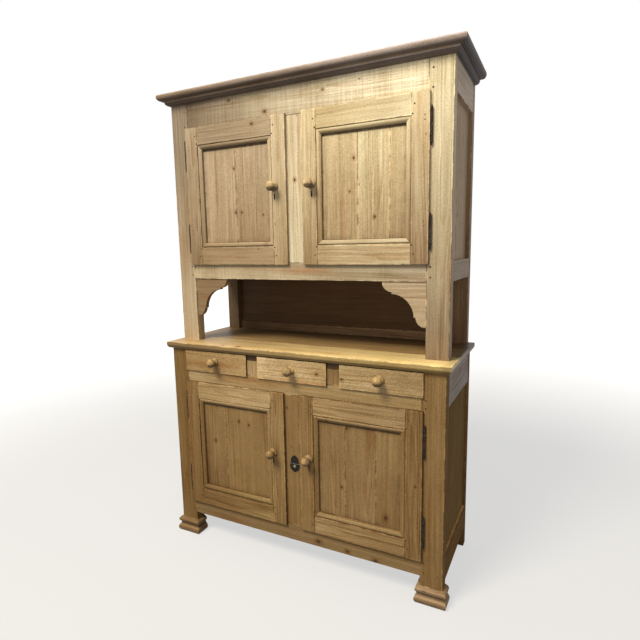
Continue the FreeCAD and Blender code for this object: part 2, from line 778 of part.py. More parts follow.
def front_feet():
    steps = foot_steps()
    reach = foot_torus_reach + cut_overrun
    middle = (base_post_inner + base_half) / 2

    def place_front(out, height):
        return Vector(base_post_inner - reach, -out, height)

    def place_side(out, height):
        return Vector(base_half + out, -reach, height)

    front = outline_face(steps, place_front).extrude(Vector(base_post_width + 2 * reach, 0, 0))
    side = outline_face(steps, place_side).extrude(Vector(0, base_post_thickness + reach, 0))
    corner = (base_half, 0)
    far = (base_half + reach, -reach)
    outside = plan_prism([corner, far, (far[0], 0)], -cut_overrun, foot_height + cut_overrun)
    inside = plan_prism([corner, far, (corner[0], far[1])], -cut_overrun, foot_height + cut_overrun)

    def across_post(shape):
        return shape.mirror(Vector(middle, 0, 0), Vector(1, 0, 0))

    front = front.cut([outside, across_post(outside)])
    side = side.cut(inside)
    return both_sides(front.Solids + side.Solids + across_post(side).Solids)


# Iron keyhole plate with two lobes, a rib and a small bush
def muntin_plate():
    half_width, half_height = plate_width / 2, plate_height / 2
    waist = half_height * plate_waist_share
    upper = half_width * plate_upper_share
    steps = [(0, -half_height),
             (half_width * plate_lobe_share, -half_height * plate_lobe_share, half_width, -waist),
             (half_width, waist), (upper, waist + half_height * plate_ear_share),
             (upper, half_height * plate_tip_share),
             (half_width * plate_tip_share * 2, half_height * plate_lobe_share, 0, half_height),
             (-half_width * plate_tip_share * 2, half_height * plate_lobe_share,
              -upper, half_height * plate_tip_share),
             (-upper, waist + half_height * plate_ear_share), (-half_width, waist),
             (-half_width, -waist),
             (-half_width * plate_lobe_share, -half_height * plate_lobe_share, 0, -half_height)]

    def place(across, up):
        return Vector(plate_centre_x + across, 0, plate_centre_height + up)

    plate = outline_face(steps, place).extrude(Vector(0, -plate_thickness, 0))
    rib = cylinder(plate_rib_radius, 2 * upper,
                   Vector(plate_centre_x - upper, -plate_thickness, plate_centre_height + waist),
                   Vector(1, 0, 0))
    in_front = block(plate_centre_x - half_width, plate_centre_x + half_width,
                     -plate_thickness - plate_rib_radius, 0,
                     plate_centre_height - half_height, plate_centre_height + half_height)
    plate = plate.fuse(rib.common(in_front)).removeSplitter()
    bush_z = plate_centre_height - half_height * plate_tip_share
    start = Vector(plate_centre_x, 0, bush_z)
    outward = Vector(0, -1, 0)
    bush = cylinder(bush_radius, plate_thickness + bush_thickness, start, outward)
    hole = cylinder(bush_hole_radius, plate_thickness + bush_thickness, start, outward)
    return plate.cut(bush).Solids + bush.cut(hole).Solids


nodes = {}

# Base: front rails, muntins, side rails and back frame, then the posts that hold them
base_rails = [
    rail_across(-base_post_inner, base_post_inner, 0, front_member_thickness, low, high)
    for low, high in ((ground_gap, base_bottom_rail_top),
                      (base_door_opening_high, drawer_opening_low),
                      (drawer_opening_high, carcass_top))]
base_muntin = muntin_upright(-muntin_width / 2, muntin_width / 2, 0, front_member_thickness,
                             base_bottom_rail_top, base_door_opening_high, tenon_length)
divider = muntin_upright(divider_inner, divider_outer, 0, front_member_thickness,
                         drawer_opening_low, drawer_opening_high, top_rail_height / 2)
base_muntins = [base_muntin] + both_sides([divider])

side_rail_inner = base_half - base_side_rail_thickness
base_side_low = base_side_ground_gap + base_side_bottom_rail_height
base_side_high = carcass_top - base_side_top_rail_height
base_side_rails = both_sides([
    rail_along(side_rail_inner, base_half, base_post_thickness, base_back_post_front, low, high,
               tenon_length)
    for low, high in ((base_side_ground_gap, base_side_low), (base_side_high, carcass_top))])
base_panels = side_boards(base_half, base_side_recess, base_post_thickness, base_back_post_front,
                          base_side_low, base_side_high)

base_back_rails = [
    rail_across(-base_back_post_inner, base_back_post_inner, back_rail_front, base_depth, low, high)
    for low, high in ((ground_gap, ground_gap + base_back_rail_height),
                      (drawer_opening_low - runner_rail_height, drawer_opening_low),
                      (drawer_opening_low, carcass_top))]
back_middle = (back_rail_front + base_depth) / 2
base_back_boards = [
    block(low, high, back_middle - tenon_thickness / 2, back_middle + tenon_thickness / 2,
          ground_gap + base_back_rail_height - groove_depth,
          drawer_opening_low - runner_rail_height + groove_depth)
    for low, high in even_boards(-base_back_post_inner - groove_depth,
                                 base_back_post_inner + groove_depth, back_board_count)]

base_pegs = []
for low, high in ((ground_gap, base_bottom_rail_top), (base_door_opening_high, drawer_opening_low)):
    base_pegs.extend(rail_pegs(base_post_inner, 0, low, high))

base_front_posts = both_sides([block(base_post_inner, base_half, 0, base_post_thickness,
                                     0, carcass_top)])
base_back_posts = both_sides([block(base_back_post_inner, base_half, base_back_post_front,
                                    base_depth, 0, carcass_top)])

# Hutch: the same kind of frame, on posts that run down to the counter
hutch_rails = [
    rail_across(-hutch_post_inner, hutch_post_inner, hutch_front, hutch_front + front_member_thickness,
                low, high)
    for low, high in ((niche_top, hutch_bottom_rail_top), (hutch_door_opening_high, hutch_top))]
hutch_muntin = muntin_upright(-muntin_width / 2, muntin_width / 2, hutch_front,
                              hutch_front + front_member_thickness,
                              hutch_bottom_rail_top, hutch_door_opening_high, tenon_length)
hutch_rail_inner = hutch_half - hutch_side_rail_thickness
hutch_side_low = niche_top + hutch_side_bottom_rail_height
hutch_side_high = hutch_top - hutch_side_top_rail_height
hutch_side_rails = both_sides([
    rail_along(hutch_rail_inner, hutch_half, hutch_post_back, hutch_back_post_front, low, high,
               tenon_length)
    for low, high in ((niche_top, hutch_side_low), (hutch_side_high, hutch_top))])
hutch_panels = side_boards(hutch_half, hutch_side_recess, hutch_post_back, hutch_back_post_front,
                           hutch_side_low, hutch_side_high)
niche_rail_top = counter_top_height + niche_back_rail_height
hutch_back_high = hutch_top - hutch_back_top_rail_height
hutch_back_rails = [
    rail_across(-hutch_back_post_inner, hutch_back_post_inner, back_rail_front, base_depth, low, high)
    for low, high in ((counter_top_height, niche_rail_top), (niche_top, hutch_bottom_rail_top),
                      (hutch_back_high, hutch_top))]
niche_back_board = block(-hutch_back_post_inner - groove_depth, hutch_back_post_inner + groove_depth,
                         back_middle - tenon_thickness / 2, back_middle + tenon_thickness / 2,
                         niche_rail_top - groove_depth, niche_top + groove_depth)
hutch_back_boards = [niche_back_board] + [
    block(low, high, back_middle - tenon_thickness / 2, back_middle + tenon_thickness / 2,
          hutch_bottom_rail_top - groove_depth, hutch_back_high + groove_depth)
    for low, high in even_boards(-hutch_back_post_inner - groove_depth,
                                 hutch_back_post_inner + groove_depth, back_board_count)]
hutch_pegs = []
for low, high in ((niche_top, hutch_bottom_rail_top), (hutch_door_opening_high, hutch_top - cornice_height)):
    hutch_pegs.extend(rail_pegs(hutch_post_inner, hutch_front, low, high))
hutch_front_posts = both_sides([block(hutch_post_inner, hutch_half, hutch_front, hutch_post_back,
                                      counter_top_height, hutch_top)])
hutch_back_posts = both_sides([block(hutch_back_post_inner, hutch_half, hutch_back_post_front,
                                     base_depth, counter_top_height, hutch_top)])

# Doors, whose locks and hinges cut the muntins and posts behind them
base_opening = (muntin_width / 2, base_post_inner, base_bottom_rail_top, base_door_opening_high)
hutch_opening = (muntin_width / 2, hutch_post_inner, hutch_bottom_rail_top, hutch_door_opening_high)
door_plans = {
    "upper_left": (hutch_opening, hutch_front, upper_left_shares, hutch_knob_share,
                   left_lock_set_in, True),
    "upper_right": (hutch_opening, hutch_front, upper_right_shares, hutch_knob_share,
                    right_lock_set_in, False),
    "lower_left": (base_opening, 0, lower_left_shares, base_knob_share, left_lock_set_in, True),
    "lower_right": (base_opening, 0, lower_right_shares, base_knob_share,
                    right_lock_set_in, False)}
post_hinge_halves = []
mortises = []
for place_name, plan in door_plans.items():
    pieces = door(*plan[:-1])
    if plan[-1]:
        pieces = {key: mirrored(shapes) for key, shapes in pieces.items()}
    post_hinge_halves.extend(pieces.pop("post_halves"))
    mortises.extend(pieces.pop("mortise"))
    for key, shapes in pieces.items():
        nodes[place_name + "_door_" + key] = shapes

# Drawers and what they run on
drawer_places = {"left_drawer": (-base_post_inner, -divider_outer),
                 "middle_drawer": (-divider_inner, divider_inner),
                 "right_drawer": (divider_outer, base_post_inner)}
for place_name, (low, high) in drawer_places.items():
    for key, shapes in drawer(low, high).items():
        nodes[place_name + "_" + key] = shapes

# Floors and shelves
base_floor_top = base_bottom_rail_top
base_floor = [
    block(-side_rail_inner, side_rail_inner, low, high, base_floor_top - floor_thickness, base_floor_top)
    for low, high in boards_between(front_member_thickness, back_rail_front, floor_joint_shares)]
base_floor = cut_from(base_floor, base_front_posts + base_back_posts)
base_floor += both_sides([
    block(side_rail_inner - cleat_width, side_rail_inner, base_post_thickness, base_back_post_front,
          base_floor_top - floor_thickness - cleat_height, base_floor_top - floor_thickness)])

hutch_floor_top = hutch_bottom_rail_top
hutch_floor = [
    block(-hutch_rail_inner, hutch_rail_inner, low, high, hutch_floor_top - floor_thickness,
          hutch_floor_top)
    for low, high in boards_between(hutch_front + front_member_thickness, back_rail_front,
                                    floor_joint_shares)]
hutch_floor = cut_from(hutch_floor, hutch_front_posts + hutch_back_posts)
hutch_floor += both_sides([
    block(hutch_rail_inner - cleat_width, hutch_rail_inner, hutch_post_back, hutch_back_post_front,
          hutch_floor_top - floor_thickness - cleat_height, hutch_floor_top - floor_thickness)])


def shelf(post_inner, front, back, top, posts):
    """A shelf board on two cleats that run between the front and back posts."""
    end = post_inner + cleat_width - shelf_end_gap
    board = block(-end, end, front + shelf_front_gap, back_rail_front, top - shelf_thickness, top)
    cleats = both_sides([block(post_inner, post_inner + cleat_width, front, back,
                               top - shelf_thickness - cleat_height, top - shelf_thickness)])
    return cut_from([board], posts) + cleats


base_inside = base_door_opening_high - base_floor_top
base_shelf = shelf(base_back_post_inner, base_post_thickness, base_back_post_front,
                   base_floor_top + base_inside * base_shelf_share, base_back_posts)
hutch_inside = hutch_door_opening_high - hutch_floor_top
hutch_shelves = []
for share in hutch_shelf_shares:
    hutch_shelves.extend(shelf(hutch_back_post_inner, hutch_post_back, hutch_back_post_front,
                               hutch_floor_top + hutch_inside * share, hutch_back_posts))

top_boards = [block(-hutch_half, hutch_half, low, high, hutch_top, hutch_top + top_board_thickness)
              for low, high in even_boards(hutch_front, base_depth, top_board_count)]

# Posts and rails get the mortises, grooves and holes of what goes into them
base_rail_cuts = base_muntins + base_pegs
nodes["base_front_rails"] = cut_from(base_rails, base_rail_cuts)
nodes["base_front_muntins"] = cut_from(base_muntins, mortises)
nodes["base_side_rails"] = cut_from(base_side_rails, base_panels)
nodes["base_side_panels"] = base_panels
nodes["base_front_posts"] = cut_from(base_front_posts,
                                     base_rails + base_side_rails + base_panels + base_pegs
                                     + post_hinge_halves)
nodes["base_back_frame"] = cut_from(base_back_posts,
                                    base_back_rails + base_side_rails + base_panels
                                    + base_back_boards)
nodes["base_back_frame"] += cut_from(base_back_rails, base_back_boards)
nodes["base_back_boards"] = base_back_boards
nodes["base_floor_boards"] = base_floor
nodes["base_shelf"] = base_shelf
nodes["drawer_runners"] = cut_from(drawer_runners(), base_front_posts)
nodes["countertop"] = countertop()
nodes["front_feet"] = front_feet()
nodes["hutch_front_rails"] = cut_from(hutch_rails, [hutch_muntin] + hutch_pegs)
nodes["hutch_muntin"] = cut_from([hutch_muntin], mortises)
nodes["hutch_side_rails"] = cut_from(hutch_side_rails, hutch_panels)
nodes["hutch_side_panels"] = hutch_panels
nodes["hutch_front_posts"] = cut_from(hutch_front_posts,
                                      hutch_rails + hutch_side_rails + hutch_panels + hutch_pegs
                                      + post_hinge_halves)
nodes["hutch_back_frame"] = cut_from(hutch_back_posts,
                                     hutch_back_rails + hutch_side_rails + hutch_panels
                                     + hutch_back_boards)
nodes["hutch_back_frame"] += cut_from(hutch_back_rails, hutch_back_boards)
nodes["hutch_back_boards"] = hutch_back_boards
nodes["hutch_floor_boards"] = hutch_floor
nodes["hutch_shelves"] = hutch_shelves
nodes["niche_brackets"] = both_sides([niche_bracket()])
nodes["cornice_moulding"] = cornice()
nodes["hutch_top_boards"] = top_boards
nodes["frame_pegs"] = base_pegs + hutch_pegs
nodes["hinge_post_halves"] = post_hinge_halves
nodes["muntin_escutcheon"] = muntin_plate()

os.makedirs("parts", exist_ok=True)
for name, shapes in sorted(nodes.items()):
    whole = Part.makeCompound(shapes)
    whole.translate(origin_shift)
    whole.exportStep("parts/" + name + ".step")
print(len(nodes), "nodes,", sum(len(shapes) for shapes in nodes.values()), "solids")
print("origin shift", origin_shift.y)
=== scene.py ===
import math
import random

import bpy
from mathutils import Matrix, Vector


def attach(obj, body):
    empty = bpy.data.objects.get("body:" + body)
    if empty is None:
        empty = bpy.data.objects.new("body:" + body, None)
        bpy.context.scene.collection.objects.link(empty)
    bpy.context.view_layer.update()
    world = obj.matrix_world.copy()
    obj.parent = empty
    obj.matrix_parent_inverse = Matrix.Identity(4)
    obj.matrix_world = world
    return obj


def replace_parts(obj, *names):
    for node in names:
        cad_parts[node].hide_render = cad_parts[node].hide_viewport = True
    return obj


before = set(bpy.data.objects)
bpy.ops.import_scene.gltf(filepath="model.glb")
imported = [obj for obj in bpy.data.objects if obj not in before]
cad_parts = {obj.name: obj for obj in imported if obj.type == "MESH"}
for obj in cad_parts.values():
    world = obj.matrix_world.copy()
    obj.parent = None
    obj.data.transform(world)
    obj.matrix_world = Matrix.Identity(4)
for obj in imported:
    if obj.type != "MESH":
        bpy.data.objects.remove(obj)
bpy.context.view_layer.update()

scene = bpy.context.scene
dice = random.Random(5)
frontY = -0.2095  # the base's front face; depths below are measured back from it, in metres


def linear(colour):
    shares = [value / 255 for value in colour]
    return tuple(c / 12.92 if c <= 0.04045 else ((c + 0.055) / 1.055) ** 2.4 for c in shares)


def opaque(colour):
    return linear(colour) + (1.0,)


# Camera, placed where the photograph was taken from
camera = {"place": (1.0141, -1.9460, 1.3943), "turn": 26.7, "tip": -8.38, "roll": -1.02,
          "lens": 27.43, "film": 36}


def addCamera(settings):
    turn, tip, roll = (math.radians(settings[key]) for key in ("turn", "tip", "roll"))
    ahead = Vector((-math.sin(turn) * math.cos(tip), math.cos(turn) * math.cos(tip), math.sin(tip)))
    right = Vector((math.cos(turn), math.sin(turn), 0))
    up = right.cross(ahead)
    side = right * math.cos(roll) + up * math.sin(roll)
    top = up * math.cos(roll) - right * math.sin(roll)
    bpy.ops.object.camera_add(location=settings["place"])
    eye = bpy.context.object
    facing = Matrix((side, top, -ahead)).transposed().to_4x4()
    eye.matrix_world = Matrix.Translation(settings["place"]) @ facing
    eye.data.lens = settings["lens"]
    eye.data.sensor_width = settings["film"]
    eye.data.dof.use_dof = False
    scene.camera = eye


# Shader maths: a wire is a socket that adds its own Math node when it is used in an expression
class Wire:
    def __init__(self, shader, socket):
        self.shader = shader
        self.socket = socket

    def math(self, operation, *values):
        return self.shader.node("Math", {"operation": operation}, dict(enumerate((self,) + values)))

    def __add__(self, other):
        return self.math("ADD", other)

    def __sub__(self, other):
        return self.math("SUBTRACT", other)

    def __mul__(self, other):
        return self.math("MULTIPLY", other)

    def __truediv__(self, other):
        return self.math("DIVIDE", other)

    def __pow__(self, other):
        return self.math("POWER", other)

    def __rsub__(self, other):
        return self.shader.node("Math", {"operation": "SUBTRACT"}, {0: other, 1: self})

    __radd__ = __add__
    __rmul__ = __mul__

    def lower(self, other):
        return self.math("MINIMUM", other)

    def upper(self, other):
        return self.math("MAXIMUM", other)

    def step(self, start, end, low=0.0, high=1.0):
        return self.shader.node("MapRange", {"interpolation_type": "SMOOTHSTEP"},
                                {0: self, 1: start, 2: end, 3: low, 4: high})


class Shader:
    def __init__(self, name, world=None):
        self.material = world or bpy.data.materials.new(name)
        self.material.use_nodes = True
        self.tree = self.material.node_tree
        self.surface = self.tree.nodes["Background" if world else "Principled BSDF"]

    def node(self, kind, settings=None, inputs=None, output=0):
        made = self.tree.nodes.new("ShaderNode" + kind)
        for key, value in (settings or {}).items():
            setattr(made, key, value)
        for key, value in (inputs or {}).items():
            if isinstance(value, Wire):
                self.tree.links.new(value.socket, made.inputs[key])
            else:
                made.inputs[key].default_value = value
        return Wire(self, made.outputs[output])

    def split(self, vector):
        first = self.node("SeparateXYZ", inputs={0: vector})
        return [self.other(first, axis) for axis in "XYZ"]

    def other(self, wire, name):  # another output of the node that the wire comes from
        return Wire(self, wire.socket.node.outputs[name])

    def attribute(self, name):
        return self.node("Attribute", {"attribute_name": name}, output=1)

    def scaled(self, vector, along, across):
        return self.node("VectorMath", {"operation": "MULTIPLY"}, {0: vector, 1: (along, across, across)})

    def noise(self, vector, along, across, detail=2.0, rough=0.5):
        return self.node("TexNoise", inputs={"Vector": self.scaled(vector, along, across), "Scale": 1.0,
                                             "Detail": detail, "Roughness": rough})

    def blend(self, share, a, b, mode="MIX"):
        return self.node("Mix", {"data_type": "RGBA", "blend_type": mode}, {0: share, 6: a, 7: b}, 2)

    def tinted(self, share, colour, tint):
        return self.blend(share, colour, self.blend(1.0, colour, tint, "MULTIPLY"))

    def feed(self, name, value):
        if isinstance(value, Wire):
            self.tree.links.new(value.socket, self.surface.inputs[name])
        else:
            self.surface.inputs[name].default_value = value

    def bump(self, height, strength, distance):
        self.feed("Normal", self.node("Bump", inputs={"Height": height, "Strength": strength,
                                                      "Distance": distance}))


# Pine: growth rings about a pith line, streaks, fibres, knots, stains, saw marks, nicks and worn edges,
# with painted shade and painted highlight laid on by place and facing
pine = {"ringWidth": 0.0050, "ringWander": 0.018, "ringDepth": 0.13, "fibre": 0.22, "streaks": 0.72,
        "figure": 0.85, "specks": 0.55, "mottle": 0.46, "sawMarks": 0.0, "sawPitch": 0.0095,
        "sawStroke": (2.5, 1, 0.7), "nickScale": (13, 36), "offset": (3.1, 0.02, 0.06),
        "latewood": (220, 182, 124), "flame": (222, 176, 120), "knotCore": (64, 42, 22),
        "knotHalo": (196, 152, 98), "dirtAndShade": (52, 35, 18), "keyholeDark": (12, 8, 5),
        "grimeAndGapShadeDepth": 0.72, "paintedSideShade": 0.0, "worn": 1.48, "nickShare": 0.06, "nickReach": 0.11,
        "lineDepth": 0.008, "lineDark": 0.84, "rings": (), "neck": 0.0, "keyholes": (),
        "paintedUpLight": 1.0, "frontShade": 1.0, "underShade": 1.0, "paintedLightBands": (),
        "roughness": 0.58, "gloss": 0.2, "coat": 0.0, "coatRoughness": 0.38,
        "relief": 0.35, "reliefDepth": 0.0009, "knotEvery": 0.36, "knotAcross": 0.13,
        "knotShare": 0.34, "knotLeast": 0.0025, "knotMost": 0.0060, "knotStretch": 0.6}

# Each pattern's scale along the grain and across it, its detail and its roughness
woodNoise = {"wander": (1.9, 11, 2, 0.5), "ripple": (10, 70, 1, 0.5), "fade": (0.9, 16, 2, 0.5),
             "streaks": (0.75, 62, 4, 0.62), "fibre": (12, 620, 3, 0.6), "figure": (3, 150, 3, 0.62),
             "flame": (1.4, 13, 3, 0.5), "mottle": (5.5, 5.5, 5, 0.62), "specks": (190, 190, 1, 0.5),
             "sawn": (3, 3, 2, 0.5), "patch": (24, 24, 3, 0.6)}

# Where each mask starts and ends: knots in their own radius, edges in metres, facings from -1 to 1
woodSteps = {"knot": (1.2, 0.7), "rimIn": (0.6, 1.0), "rimOut": (1.6, 1.05), "halo": (4.2, 0.9),
             "fade": (0.36, 0.62, 0.2, 1.0), "ringEnd": (1.0, 0.88), "flame": (0.57, 0.76),
             "sawn": (0.38, 0.62), "nicked": (0.022, 0.003), "rubbed": (0.0070, 0.0012),
             "rubbedPatch": (0.44, 0.62), "grimeAndGapShade": (0.0030, 0.0004), "grimeAndGapShadePatch": (0.62, 0.36),
             "side": (0.0013, 0.0003), "openingDirtAndShade": (0.030, 0.0), "openingDirtAndShadePatch": (0.75, 0.25),
             "line": (0.0030, 0.0012), "linePatch": (0.75, 0.35, 0.72, 1.0), "neck": (-0.012, -0.008),
             "paintedUpLight": (0.15, 0.9), "frontShade": (-0.45, -0.95), "underShade": (0.0, -0.45),
             "keyholeX": (0.0034, 0.0024), "keyholeZ": (0.0135, 0.0110)}

# How strongly each stain, painted shade and painted highlight shows, how far ripples and knots bend the
# rings, and the like
woodShares = {"latewood": 0.4, "flame": 0.55, "knotHalo": 0.6, "knotCore": 0.86, "rim": 0.4, "rubbed": 0.8,
              "openingDirtAndShade": 0.42, "neck": 0.7, "keyhole": 0.96, "nick": 0.8, "ripple": 0.0026, "bend": 0.005,
              "figure": 1.5, "nicked": 0.16, "green": 1.16, "blue": 1.5}


def mask(wire, name):
    return wire.step(*woodSteps[name])


def knotDistance(look, offX, offY, radius):  # 1 at the knot's rim
    return (offX * offX * look["knotStretch"] + offY * offY).math("SQRT") / radius


def boardKnots(s, look):
    nearness = None
    for number in range(3):
        offX, offY, radius = s.split(s.attribute("knot%d" % number))
        away = knotDistance(look, offX, offY, radius.upper(0.00001))
        nearness = away if nearness is None else nearness.lower(away)
    return nearness


def scatteredKnots(s, look, along, across):  # one cell of a wide pattern may hold one
    cellX, cellY = along / look["knotEvery"], across / look["knotAcross"]
    flat = s.node("CombineXYZ", inputs={0: cellX, 1: cellY})
    cells = s.node("TexVoronoi", {"voronoi_dimensions": "2D"}, {"Vector": flat, "Scale": 1.0}, "Position")
    chance, girth, _ = s.split(s.other(cells, "Color"))
    homeX, homeY, _ = s.split(cells)
    offX, offY = (cellX - homeX) * look["knotEvery"], (cellY - homeY) * look["knotAcross"]
    present = chance.math("LESS_THAN", look["knotShare"])
    radius = (girth * (look["knotMost"] - look["knotLeast"]) + look["knotLeast"]) * present + 0.00001
    return knotDistance(look, offX, offY, radius)


def cleanWood(s, look, place, grain, colour, nearness):  # its base colour, ring, fibre, mottle and knot
    def pattern(name, vector=grain):
        return s.noise(vector, *woodNoise[name])

    _, across, deep = s.split(grain)
    knot, halo = mask(nearness, "knot"), mask(nearness, "halo")
    rim = mask(nearness, "rimIn") * mask(nearness, "rimOut")
    radial = (across * across + deep * deep).math("SQRT") + (pattern("wander") - 0.5) * look["ringWander"]
    radial = radial + (pattern("ripple") - 0.5) * woodShares["ripple"] + halo * woodShares["bend"]
    phase = (radial / look["ringWidth"]).math("FRACT")
    fade = mask(pattern("fade"), "fade")
    ring = phase * phase * mask(phase, "ringEnd") * fade
    fibre = pattern("fibre") - 0.5
    mottle = pattern("mottle", place) - 0.5
    light = 1.0 - ring * look["ringDepth"] + fibre * look["fibre"] + mottle * look["mottle"]
    light = light + (pattern("streaks") - 0.5) * look["streaks"]
    light = light + (pattern("figure") - 0.5) * fade * (woodShares["figure"] * look["figure"])
    light = light + (pattern("specks", place) - 0.5) * look["specks"]
    if look["sawMarks"]:
        strokes = s.noise(grain, 1 / look["sawPitch"], *look["sawStroke"]) - 0.5
        light = light + strokes * mask(pattern("sawn", place), "sawn") * look["sawMarks"]
    shade = s.node("CombineXYZ", inputs={0: light, 1: light ** woodShares["green"],
                                         2: light ** woodShares["blue"]})
    base = s.blend(1.0, colour, shade, "MULTIPLY")
    for wire, name in ((ring, "latewood"), (mask(pattern("flame"), "flame"), "flame"), (halo, "knotHalo")):
        base = s.tinted(wire * woodShares[name], base, opaque(look[name]))
    base = s.blend(knot * woodShares["knotCore"], base, opaque(look["knotCore"]))
    base = s.blend(rim * woodShares["rim"], base, opaque(look["dirtAndShade"]))
    return base, ring, fibre, mottle, knot


def edgeWearAndShade(s, look, place, base):  # rubs a board's edges lighter, wear with painted highlight, and darkens them and its opening, dirt with painted shade; also tells its share of nicks
    edge, half, seen, seenHalf = (s.split(s.attribute(name))
                                  for name in ("edge", "half", "sight", "sightHalf"))
    gaps = [h - e.math("ABSOLUTE") for e, h in zip(edge, half)]
    toEdge = gaps[0].lower(gaps[1]).upper(gaps[0].upper(gaps[1]).lower(gaps[2]))
    patch = s.noise(place, *woodNoise["patch"])
    worn = look["worn"]
    # edges rubbed lighter: wear, with painted highlight where light catches them
    rubbed = mask(toEdge, "rubbed") * mask(patch, "rubbedPatch") * woodShares["rubbed"]
    base = s.tinted(rubbed, base, (worn, worn * 0.99, worn * 0.95, 1.0))

    # round a panel's opening: a patchy darkening, a thin dark line all round and a band under its top edge,
    # dirt with painted shadow
    inFrame = (seenHalf[0] - seen[0].math("ABSOLUTE")).lower(seenHalf[1] - seen[1].math("ABSOLUTE"))
    under = (seenHalf[0] - seen[0]).step(look["lineDepth"] * 1.5, look["lineDepth"])
    line = mask(inFrame, "line").upper(under) * seen[2] * mask(patch, "linePatch")
    reach = (edge[1] * edge[1] + edge[2] * edge[2]).math("SQRT")  # out from the axis of turned work
    stainsAndShade = [mask(inFrame, "openingDirtAndShade") * seen[2] * mask(patch, "openingDirtAndShadePatch") * woodShares["openingDirtAndShade"],
              line * look["lineDark"],
              # grime along the edges, with painted shade where they meet a gap; the side faces painted dark
              # as shade
              mask(toEdge, "grimeAndGapShade") * mask(patch, "grimeAndGapShadePatch") * look["grimeAndGapShadeDepth"],
              mask(gaps[0].lower(gaps[1]), "side") * look["paintedSideShade"]]
    # a knob's turned line and the rim of its head painted dark: painted shade
    stainsAndShade += [(reach - radius).math("ABSOLUTE").step(width, width * 0.4) * depth
               for radius, width, depth in look["rings"]]
    # a knob's neck, between head and rose, painted dark: painted shade
    if look["neck"]:
        waist = reach.step(look["neck"] * 1.25, look["neck"]) * mask(edge[0], "neck")
        stainsAndShade.append(waist * woodShares["neck"])
    # each darkening is laid on in one colour that serves for dirt and painted shade alike
    for darkening in stainsAndShade:
        base = s.blend(darkening, base, opaque(look["dirtAndShade"]))
    return base, mask(toEdge, "nicked") * (look["nickShare"] + woodShares["nicked"]) + look["nickShare"]


def pineShader(name, look, grainAxis=None, tone=None):  # with no grain axis it follows each board's own
    s = Shader(name)
    place = s.node("TexCoord", output=3)
    nickShare = look["nickShare"]
    if grainAxis is None:
        grain = s.attribute("grain")
        base = s.node("Attribute", {"attribute_name": "tone"})
        base, ring, fibre, mottle, knot = cleanWood(s, look, place, grain, base, boardKnots(s, look))
        base, nickShare = edgeWearAndShade(s, look, place, base)
    else:
        turn = {"X": 0, "Y": math.radians(90)}[grainAxis]
        grain = s.node("Mapping", inputs={"Vector": place, "Location": look["offset"],
                                          "Rotation": (0, 0, turn)})
        nearness = scatteredKnots(s, look, *s.split(grain)[:2])
        base, ring, fibre, mottle, knot = cleanWood(s, look, place, grain, opaque(tone), nearness)

    # painted light: what faces upwards is painted lighter, as if lit from above; what faces down or
    # forwards is painted darker, as shade
    _, facingY, facingZ = s.split(s.node("NewGeometry", output=1))
    for key, facing in (("paintedUpLight", facingZ), ("frontShade", facingY), ("underShade", facingZ)):
        if look[key] != 1.0:
            tint = (look[key], look[key] * 0.97, look[key] * 0.90, 1.0)
            base = s.tinted(mask(facing, key), base, tint)
    # each band darkens or lightens all that lies past one line across the piece: painted shadow and shade
    # where it darkens, painted highlight where it lightens
    spot = s.split(place)
    for axis, start, end, factor in look["paintedLightBands"]:
        base = s.tinted(spot[axis].step(start, end), base, (factor, factor, factor, 1.0))
    # each keyhole's slot is painted near-black: painted shade inside the hole
    for keyX, keyZ in look["keyholes"]:
        hole = mask((spot[0] - keyX).math("ABSOLUTE"), "keyholeX")
        hole = hole * mask((spot[2] - keyZ).math("ABSOLUTE"), "keyholeZ")
        base = s.blend(hole * woodShares["keyhole"], base, opaque(look["keyholeDark"]))

    nicks = s.node("TexVoronoi", inputs={"Vector": s.scaled(grain, *look["nickScale"]), "Scale": 1.0})
    chance, _, _ = s.split(s.other(nicks, "Color"))
    nick = nicks.step(look["nickReach"], look["nickReach"] / 2)
    nick = nick * (chance - nickShare).math("LESS_THAN", 0.0)
    base = s.blend(nick * woodShares["nick"], base, opaque(look["knotCore"]))
    s.feed("Base Color", base)
    s.feed("Roughness", fibre * 0.18 - ring * 0.07 + look["roughness"])
    s.feed("Specular IOR Level", look["gloss"])
    s.feed("Coat Weight", look["coat"])
    s.feed("Coat Roughness", look["coatRoughness"])
    height = fibre * 0.6 - ring * 0.3 - knot * 0.3 - nick * 0.8 + mottle * 0.4
    s.bump(height, look["relief"], look["reliefDepth"])
    return s.material


# Old iron: near black, browned in patches and rubbed bright where hands touch
iron = {"dark": (22, 19, 18), "rust": (62, 40, 26), "bright": (176, 164, 148), "wear": 0.65, "metal": 0.15,
        "gloss": 0.25, "roughness": 0.42, "relief": 0.3, "reliefDepth": 0.0006,
        "patches": (38, 38, 4), "grains": (420, 420, 3), "rusted": (0.48, 0.68), "rubbed": (0.60, 0.72),
        "stileEdge": 0.5555, "nailHead": (104, 82, 58), "nailCover": 0.85,
        "ribAt": 0.471, "ribEdge": (0.0022, 0.0012), "rib": (150, 142, 140), "ribCover": 0.7,
        "bushAt": (0.006, 0.4596), "bushRim": (0.0055, 0.0052), "bushHole": (0.0019, 0.0022),
        "bush": (176, 178, 148), "bushCover": 0.9}


